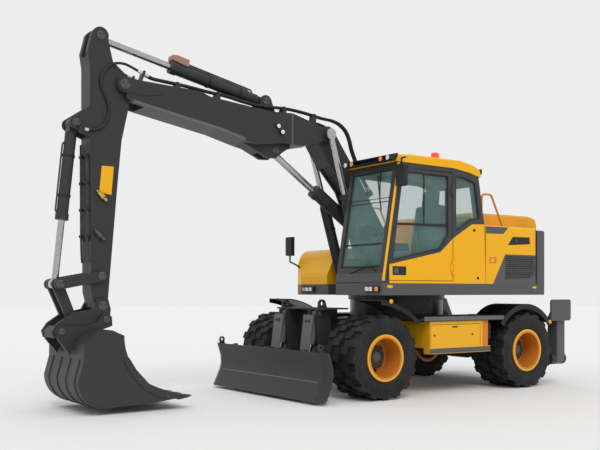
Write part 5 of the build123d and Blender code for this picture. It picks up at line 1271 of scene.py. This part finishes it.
heel, bend, back = from_pin(END, (41, -1094), (345, -1010), (428, -791))
rim = [*from_pin(END, (-700, -1055), (-419, -1087)), *arc(heel, bend, back, 10), *from_pin(END, (368, -575))]
middle = from_pin(END, (60, -760))[0]


def pushed(points, off):
    """Outline moved away from the bucket's middle."""
    moved = []
    for x, z in points:
        way = Vector((x - middle[0], z - middle[1])).normalized()
        moved.append((x + way.x * off, z + way.y * off))
    return moved


BUCKET_Y = 0.5385
STRAP = pushed(rim, 0.010) + pushed(rim, -0.004)[::-1]
for part, y in enumerate((-0.40, -0.135, 0.135, 0.40)):
    plate(f"bucket_strap_{part}", STRAP, y - 0.035, y + 0.035, charcoal, "bucket", edge=0.002)
CUTTER = from_pin(END, (-869, -1033), (-621, -967), (-392, -862), (-240, -700), (-150, -560), (-80, -585),
                  (-170, -740), (-330, -925), (-560, -1035), (-760, -1056))
CUTTER_BOLTS = from_pin(END, (-430, -930), (-270, -810), (-620, -1015))
for side, hand in SIDES:
    plate(f"bucket_cutter_{side}", CUTTER, *across(hand, BUCKET_Y, BUCKET_Y + 0.0115), charcoal, "bucket")
    heads = [(at(x, hand * (BUCKET_Y + 0.0135), z), (0, hand, 0)) for x, z in CUTTER_BOLTS]
    repeat(f"bucket_bolts_{side}", BOLTS, heads, 0.014, 0.014, worn_steel, "bucket")
TOOTH = from_pin(END, (-770, -998), (-900, -1018), (-938, -1031), (-900, -1050), (-770, -1070))
for part in range(5):
    y = -0.480 + part * 0.240
    plate(f"tooth_{part}", TOOTH, y - 0.043, y + 0.043, worn_steel, "bucket", edge=0.006)
tell("bucket")

# %% [markdown]
# ## Blade
# A lighter line of painted highlight marks where the fold across the blade catches the light, and two bolts
# head each guard of its cylinders.
# The line could be a mask in the paint, but a plate as thin as a hair keeps its edges sharp.

# %% Blade
FOLD_HIGHLIGHT = [(2.2220, 0.2560), (2.2190, 0.2680), (2.2205, 0.2684), (2.2240, 0.2565)]
GUARD_WAY = (0.991, 0, 0.131)
# Painted highlight: a hair-thin ash plate for the light along the blade's fold.
plate("blade_fold_highlight", FOLD_HIGHLIGHT, -1.10, 1.10, ash, "blade", edge=0.0004)
for side, hand in SIDES:
    heads = [(at(1.8155, hand * 0.335 + off, 0.960), GUARD_WAY) for off in (-0.032, 0.032)]
    repeat(f"guard_bolts_{side}", BOLTS, heads, 0.014, 0.010, black_plastic, "blade_barrels")
tell("blade")

# %% [markdown]
# ## Floor and light
# A pale studio floor lies under an even white sky, with one wide soft sun from the cab's side.
# Several area lamps would do the same, but a sun and a sky look alike from all sides of a machine this large.

# %% Floor and light
FLOOR_HALF = 60
floor_mesh = bpy.data.meshes.new("floor")
floor_corners = rectangle(-FLOOR_HALF, -FLOOR_HALF, FLOOR_HALF, FLOOR_HALF)
floor_mesh.from_pydata([(x, y, 0) for x, y in floor_corners], [], [(0, 1, 2, 3)])
floor = bpy.data.objects.new("floor", floor_mesh)
bpy.context.scene.collection.objects.link(floor)
floor_look = Finish("studio floor", Roughness=0.95)
pale = floor_look.ramp(floor_look.noise(40.0), (0.3, srgb(228, 228, 228)), (0.7, srgb(231, 231, 231)))
floor_look.feed(Base_Color=pale)
floor_mesh.materials.append(floor_look.material)
floor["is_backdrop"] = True

world = bpy.data.worlds.new("studio")
bpy.context.scene.world = world
world.use_nodes = True
sky = world.node_tree.nodes["Background"]
sky.inputs["Color"].default_value = (1.0, 1.0, 1.0, 1.0)
sky.inputs["Strength"].default_value = 0.85

TOWARDS_SUN = Vector((4.0, 8.0, 9.5))
sun_data = bpy.data.lights.new("sun", "SUN")
sun_data.energy = 1.1
sun_data.angle = 0.5
sun = bpy.data.objects.new("sun", sun_data)
bpy.context.scene.collection.objects.link(sun)
sun.rotation_euler = (-TOWARDS_SUN).to_track_quat("-Z", "Y").to_euler()
print("sky", sky.inputs["Strength"].default_value, "and sun", sun_data.energy)

# %% [markdown]
# ## Measure and finish
# The dressed machine's box is printed, so that it can be set beside the CAD's. The dressed machine has to
# stay inside the CAD's box.

# %% Measure and finish
low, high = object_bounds()
print("visual box", [round(v, 3) for v in (*low, *high)])
